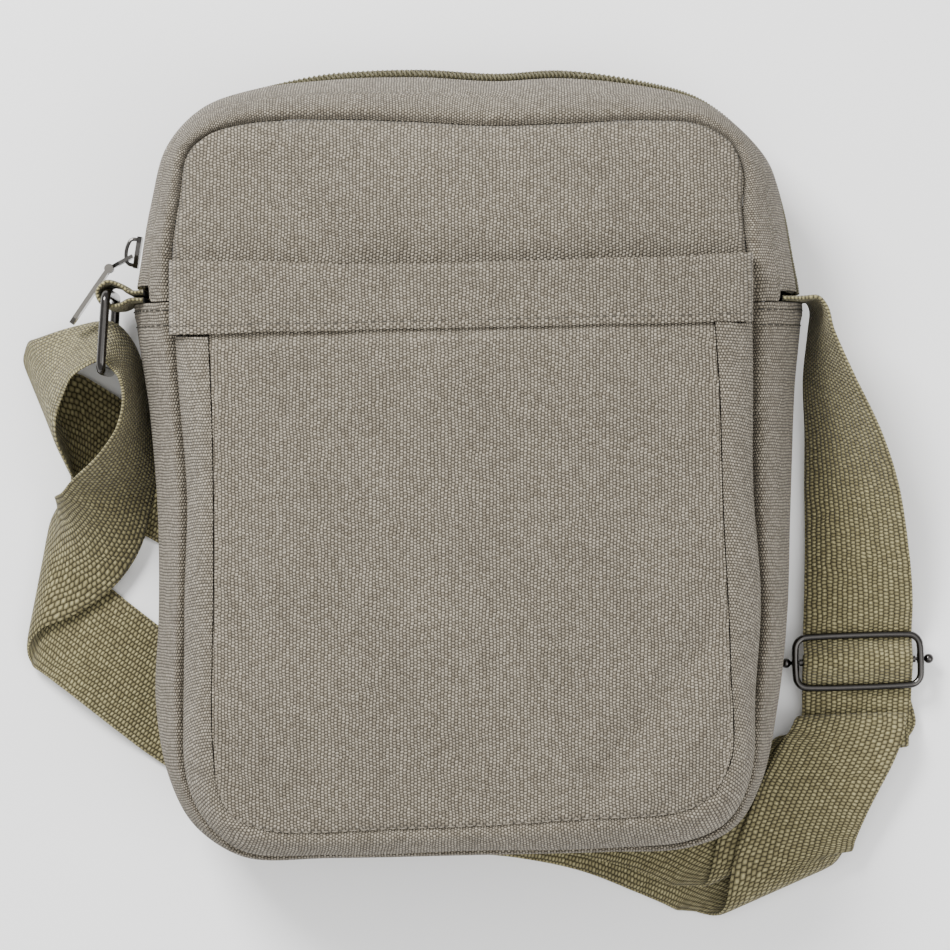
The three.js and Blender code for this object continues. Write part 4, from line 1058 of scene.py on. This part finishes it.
PIECES["adjuster_frame"] = wire(
    "slide_metal", slide_loop, SLIDE_WIRE / 2, closed=True, sides=20, steps=260)
EYES = [eye(-1), eye(1)]
PIECES["adjuster_bar"] = turned("bar_metal", bar_profile())
print("metal made")

# %% [markdown]
# ## Stitches
#
# A row of stitches is a line of short threads, each dipping into the cloth at both ends.


# %% Stitches
def thread_row(name, route, normal_at, pitch=3.2, length=2.3, radius=0.28):
    """Stitches along a curve; normal_at(places) gives the way out of the cloth"""
    count = max(2, int(route.length() / pitch))
    starts = route.even_shares(count + 1)[:-1]
    places, tangents = route.at(starts), route.tangent(starts)
    normals = normal_at(places)
    bm = bmesh.new()
    stations = ((-0.5, -0.35, 0.5), (-0.4, 0.02, 0.9), (0, 0.12, 1), (0.4, 0.02, 0.9), (0.5, -0.35, 0.5))
    angles = np.linspace(0, 2 * math.pi, 6, endpoint=False)
    for place, tangent, normal in zip(places, tangents, normals):
        aside = np.cross(tangent, normal)
        rings = []
        for run, out, size in stations:
            centre = place + tangent * run * length + normal * out
            ring = [centre + radius * size * (aside * math.cos(a) + normal * math.sin(a)) for a in angles]
            rings.append([bm.verts.new(p * MM) for p in ring])
        for one, two in zip(rings, rings[1:]):
            for j in range(6):
                k = (j + 1) % 6
                bm.faces.new((one[j], two[j], two[k], one[k]))
    bmesh.ops.recalc_face_normals(bm, faces=bm.faces)
    return mesh_object(name, bm)


STITCHES = []


def stitch_on(name, place, u, v, **sizes):
    """A row of stitches on a sheet, along u and v, lying on its outer face"""
    at, nudge = place(u, v), 1e-3
    du = place(np.clip(u + nudge, 0, 1), v) - place(np.clip(u - nudge, 0, 1), v)
    dv = place(u, np.clip(v + nudge, 0, 1)) - place(u, np.clip(v - nudge, 0, 1))
    normals = unit(np.cross(du, dv))
    normals *= np.sign(normals[:, 2:3] + 1e-6)
    at = at + normals * (CANVAS / 2)
    route = Curve(at, steps=6)
    marks = route.samples
    known = np.linspace(0, 1, len(at))
    spread = np.stack([np.interp(route.shares, known, n) for n in normals.T], axis=-1)

    def normal_at(places):
        nearest = np.argmin(np.linalg.norm(places[:, None] - marks[None], axis=2), axis=1)
        return unit(spread[nearest])

    STITCHES.append(thread_row(name, route, normal_at, **sizes))


SEWN = 160
SEWN_WALL = 60
TAB_ROWS = (2.8, 8.6)
line = np.linspace(0.003, 0.997, SEWN)
stitch_on("stitch_pocket_side", pocket_face, np.full(SEWN, 0.012), 1 - line)
stitch_on("stitch_pocket_other_side", pocket_face, np.full(SEWN, 0.988), line)
stitch_on("stitch_pocket_foot", pocket_face, line, np.full(SEWN, 0.013))
stitch_on("stitch_band", pocket_band, np.linspace(0.02, 0.98, SEWN), np.full(SEWN, BAND_STITCH))
wall_line = np.linspace(0.5, 0.97, SEWN_WALL)
for number, from_end in enumerate(TAB_ROWS):
    across_end = np.full(SEWN_WALL, from_end / WALL_LENGTH)
    stitch_on(f"stitch_left_tab_{number}", around_bottom, across_end, wall_line, pitch=2.8)
    stitch_on(f"stitch_right_tab_{number}", around_bottom, 1 - across_end, wall_line, pitch=2.8)
print(len(STITCHES), "rows of stitches")

# %% [markdown]
# ## Materials
#
# Colours are given as sRGB hex and turned linear. Each material is a small node tree that
# reads the piece's own UV map, in millimetres, or its object coordinates.


# %% Materials
def linear(hex_colour):
    parts = [int(hex_colour[i : i + 2], 16) / 255 for i in (1, 3, 5)]
    return [c / 12.92 if c <= 0.04045 else ((c + 0.055) / 1.055) ** 2.4 for c in parts] + [1.0]


def new_material(name):
    material = bpy.data.materials.new(name)
    material.use_nodes = True
    return material, material.node_tree, material.node_tree.nodes["Principled BSDF"]


def node(tree, kind, inputs=(), **settings):
    """Adds a node, sets its properties and links or sets its first inputs"""
    made = tree.nodes.new("ShaderNode" + kind)
    for key, value in settings.items():
        setattr(made, key, value)
    pairs = inputs.items() if isinstance(inputs, dict) else enumerate(inputs)
    for key, value in pairs:
        if isinstance(value, bpy.types.NodeSocket):
            tree.links.new(value, made.inputs[key])
        elif value is not None:
            made.inputs[key].default_value = value
    return made


def math_node(tree, operation, *inputs):
    return node(tree, "Math", inputs, operation=operation).outputs[0]


def mix_colours(tree, share, one, two, blend="MIX"):
    made = tree.nodes.new("ShaderNodeMix")
    made.data_type = "RGBA"
    made.blend_type = blend
    for index, value in ((0, share), (6, one), (7, two)):
        if isinstance(value, bpy.types.NodeSocket):
            tree.links.new(value, made.inputs[index])
        else:
            made.inputs[index].default_value = value
    return made.outputs[2]


def bead_height(tree, across, along, pitch_across, pitch_along, roundness):
    """Staggered beads of thread: 0 in the gaps and 1 on the crowns, and each bead's own number"""
    a = math_node(tree, "DIVIDE", across, pitch_across)
    column = math_node(tree, "FLOOR", a)
    stagger = math_node(tree, "MULTIPLY", math_node(tree, "MODULO", column, 2.0), 0.5)
    b = math_node(tree, "ADD", math_node(tree, "DIVIDE", along, pitch_along), stagger)
    crown_a = math_node(tree, "SINE", math_node(tree, "MULTIPLY", math_node(tree, "FRACT", a), math.pi))
    crown_b = math_node(tree, "SINE", math_node(tree, "MULTIPLY", math_node(tree, "FRACT", b), math.pi))
    height = math_node(tree, "POWER", math_node(tree, "MULTIPLY", crown_a, crown_b), roundness)
    cell = node(tree, "CombineXYZ", (column, math_node(tree, "FLOOR", b))).outputs[0]
    chance = node(tree, "TexWhiteNoise", (cell,), noise_dimensions="2D").outputs["Value"]
    return height, chance


# gap is painted shade: the dark colour laid into the hollows between beads of thread
Weave = namedtuple("Weave", "light dark gap pitch_across pitch_along roundness depth rough turned")


def woven(name, w):
    """Cloth: beads of thread over painted shade in the gaps between them, uneven from bead to bead and
    from place to place
    """
    material, tree, shader = new_material(name)
    uv = node(tree, "UVMap", uv_map="weave").outputs[0]
    parts = node(tree, "SeparateXYZ", (uv,)).outputs
    objects = node(tree, "TexCoord").outputs["Object"]
    wobble = node(tree, "TexNoise", {"Vector": objects, "Scale": 140.0, "Detail": 2.0}).outputs[0]
    shift = math_node(tree, "MULTIPLY", math_node(tree, "SUBTRACT", wobble, 0.5), 1.6)
    across = math_node(tree, "ADD", parts[1 if w.turned else 0], shift)
    along = math_node(tree, "ADD", parts[0 if w.turned else 1], shift)
    height, chance = bead_height(tree, across, along, w.pitch_across, w.pitch_along, w.roundness)
    bead = mix_colours(tree, chance, linear(w.dark), linear(w.light))
    # Painted shade: the gaps between beads take the dark gap colour, while the bump below gives the beads
    # their real relief
    cloth = mix_colours(tree, height, linear(w.gap), bead)
    cloudy = node(tree, "TexNoise", {"Vector": objects, "Scale": 26.0, "Detail": 4.0}).outputs[0]
    shade = math_node(tree, "ADD", math_node(tree, "MULTIPLY", cloudy, 0.34), 0.83)
    slubs = node(tree, "TexNoise", {"Vector": objects, "Scale": 900.0, "Detail": 3.0}).outputs[0]
    uneven = math_node(tree, "ADD", math_node(tree, "MULTIPLY", slubs, 0.5), 0.75)
    shade = math_node(tree, "MULTIPLY", shade, uneven)
    grey = node(tree, "CombineXYZ", (shade, shade, shade)).outputs[0]
    tree.links.new(mix_colours(tree, 1.0, cloth, grey, "MULTIPLY"), shader.inputs["Base Color"])
    raised = math_node(tree, "ADD", height, math_node(tree, "MULTIPLY", slubs, 0.5))
    bump = node(tree, "Bump", {"Strength": 1.0, "Distance": w.depth * MM, "Height": raised})
    tree.links.new(bump.outputs[0], shader.inputs["Normal"])
    shader.inputs["Roughness"].default_value = w.rough
    shader.inputs["Specular IOR Level"].default_value = 0.15
    shader.inputs["Sheen Weight"].default_value = 0.12
    return material


def metal(name, colour, rough, scratch):
    """Plated metal with faint unevenness in its polish"""
    material, tree, shader = new_material(name)
    objects = node(tree, "TexCoord").outputs["Object"]
    grain = node(tree, "TexNoise", {"Vector": objects, "Scale": 700.0, "Detail": 4.0}).outputs[0]
    span = math_node(tree, "ADD", math_node(tree, "MULTIPLY", grain, rough), rough * 0.6)
    tree.links.new(span, shader.inputs["Roughness"])
    tint = mix_colours(tree, grain, [c * 0.8 for c in linear(colour)[:3]] + [1.0], linear(colour))
    tree.links.new(tint, shader.inputs["Base Color"])
    bump = node(tree, "Bump", {"Strength": scratch, "Distance": 0.05 * MM, "Height": grain})
    tree.links.new(bump.outputs[0], shader.inputs["Normal"])
    shader.inputs["Metallic"].default_value = 1.0
    return material


def thread(name, colour):
    """Sewing thread: a twisted strand, lighter and darker at random along it"""
    material, tree, shader = new_material(name)
    objects = node(tree, "TexCoord").outputs["Object"]
    strand = node(tree, "TexNoise", {"Vector": objects, "Scale": 1500.0, "Detail": 2.0}).outputs[0]
    dark = [c * 0.7 for c in linear(colour)[:3]] + [1.0]
    tree.links.new(mix_colours(tree, strand, dark, linear(colour)), shader.inputs["Base Color"])
    shader.inputs["Roughness"].default_value = 0.7
    return material


# The third colour in each weave, its gap, is painted shade for the hollows between beads
DUCK = Weave("#ada493", "#887f6f", "#2b261f", 1.15, 1.06, 0.75, 0.5, 0.95, False)
WEBBING_WEAVE = Weave("#a59d74", "#857d5a", "#2a2415", 1.8, 1.3, 0.7, 0.6, 0.85, False)
TAPE_WEAVE = Weave("#766f52", "#655f45", "#3b3727", 0.6, 0.6, 0.6, 0.15, 0.9, False)
LOOKS = {
    # Cotton duck canvas, washed: warm grey, with its threads along and across the bag
    "canvas": woven("cotton_duck", DUCK),
    # The same canvas cut along the wall, so its threads run round the bag
    "canvas_wall": woven("cotton_duck_wall", DUCK._replace(turned=True)),
    # Olive cotton webbing: coarser beads, with painted shade in the gaps between them
    "webbing": woven("cotton_webbing", WEBBING_WEAVE),
    # Woven polyester zipper tape
    "tape": woven("zipper_tape_weave", TAPE_WEAVE),
    # Nylon zipper coil
    "coil": thread("nylon_coil", "#615c42"),
    # Black nickel plate on steel wire
    "nickel": metal("black_nickel", "#4c4a48", 0.16, 0.1),
    # Brighter worn plate on the puller
    "bright": metal("worn_nickel", "#6e6b66", 0.14, 0.12),
    # Cotton sewing thread in the canvas's colour
    "thread": thread("sewing_thread", "#857d6f"),
    # The dark thread of the rows across the wall and along the band
    "dark_thread": thread("dark_sewing_thread", "#37332a"),
}


def dress(obj, look, body="bag"):
    obj.data.materials.clear()
    obj.data.materials.append(LOOKS[look])
    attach(obj, body)


WEARS = {
    "front_panel": ("canvas", "canvas"),
    "back_panel": ("canvas", "canvas"),
    "pocket_face": ("canvas", "canvas"),
    "pocket_band": ("canvas", "canvas"),
    "body_gusset": ("canvas_wall", "canvas"),
    "zip_strip_back": ("canvas_wall", "canvas"),
    "zip_strip_front": ("canvas_wall", "canvas"),
    "pocket_gusset": ("canvas_wall", "canvas"),
    "shoulder_strap": ("webbing", "webbing"),
    "ring_tab": ("webbing", "webbing"),
    "zipper_tape_back": ("tape", "zip_tape"),
    "zipper_tape_front": ("tape", "zip_tape"),
    "zipper_coil": ("coil", "zip_coil"),
    "side_ring": ("nickel", "dark_metal"),
    "adjuster_frame": ("nickel", "dark_metal"),
    "adjuster_bar": ("nickel", "dark_metal"),
}
for node_name, (look, slot_name) in WEARS.items():
    dress(PIECES[node_name], look)
    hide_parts(node_name)
dress(coil_back, "coil")
for ring in EYES:
    dress(ring, "nickel")
for row in STITCHES:
    dress(row, "thread" if "pocket" in row.name else "dark_thread")
PULLER = {"zipper_slider": "nickel", "zipper_pull_link": "nickel", "zipper_pull_tab": "bright"}
for node_name, look in PULLER.items():
    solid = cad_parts[node_name]
    solid.data.materials.clear()
    solid.data.materials.append(LOOKS[look])
print("materials set on", len(WEARS), "pieces")

# %% [markdown]
# ## Floor, light and camera
#
# The camera looks straight down from 1.5 m, as in the photo.

# %% Floor, light and camera
CAMERA_PLACE = (2.1, -3.2, 1500)
CAMERA_LENS = 161.6
FLOOR_DROP = 0.5


def add_floor():
    bm = bmesh.new()
    bmesh.ops.create_grid(bm, x_segments=1, y_segments=1, size=3)
    floor = mesh_object("floor", bm)
    floor.location.z = -FLOOR_DROP * MM
    material, tree, shader = new_material("pale_floor")
    shader.inputs["Base Color"].default_value = (0.95, 0.95, 0.95, 1)
    shader.inputs["Roughness"].default_value = 0.9
    floor.data.materials.append(material)


def add_light(name, place, size, power):
    data = bpy.data.lights.new(name, "AREA")
    data.size = size
    data.energy = power
    lamp = bpy.data.objects.new(name, data)
    lamp.location = place
    lamp.rotation_euler = (-Vector(place)).to_track_quat("-Z", "Y").to_euler()
    bpy.context.collection.objects.link(lamp)


def add_camera():
    data = bpy.data.cameras.new("camera")
    data.lens = CAMERA_LENS
    data.sensor_width = 36
    data.clip_start = 0.01
    camera = bpy.data.objects.new("camera", data)
    camera.location = Vector(CAMERA_PLACE) * MM
    bpy.context.collection.objects.link(camera)
    bpy.context.scene.camera = camera


# Each light's name, place in metres, size in metres and power in watts
LIGHTS = (
    ("key", (-0.6, 0.8, 1.0), 0.5, 31),
    ("fill", (0.9, -0.5, 1.0), 1.0, 11),
    ("top", (0.0, 0.0, 1.6), 1.6, 12),
)
WORLD_STRENGTH = 0.72
add_floor()
for light in LIGHTS:
    add_light(*light)
add_camera()
world = bpy.data.worlds.new("studio")
world.use_nodes = True
world.node_tree.nodes["Background"].inputs[0].default_value = (1, 1, 1, 1)
world.node_tree.nodes["Background"].inputs[1].default_value = WORLD_STRENGTH
bpy.context.scene.world = world
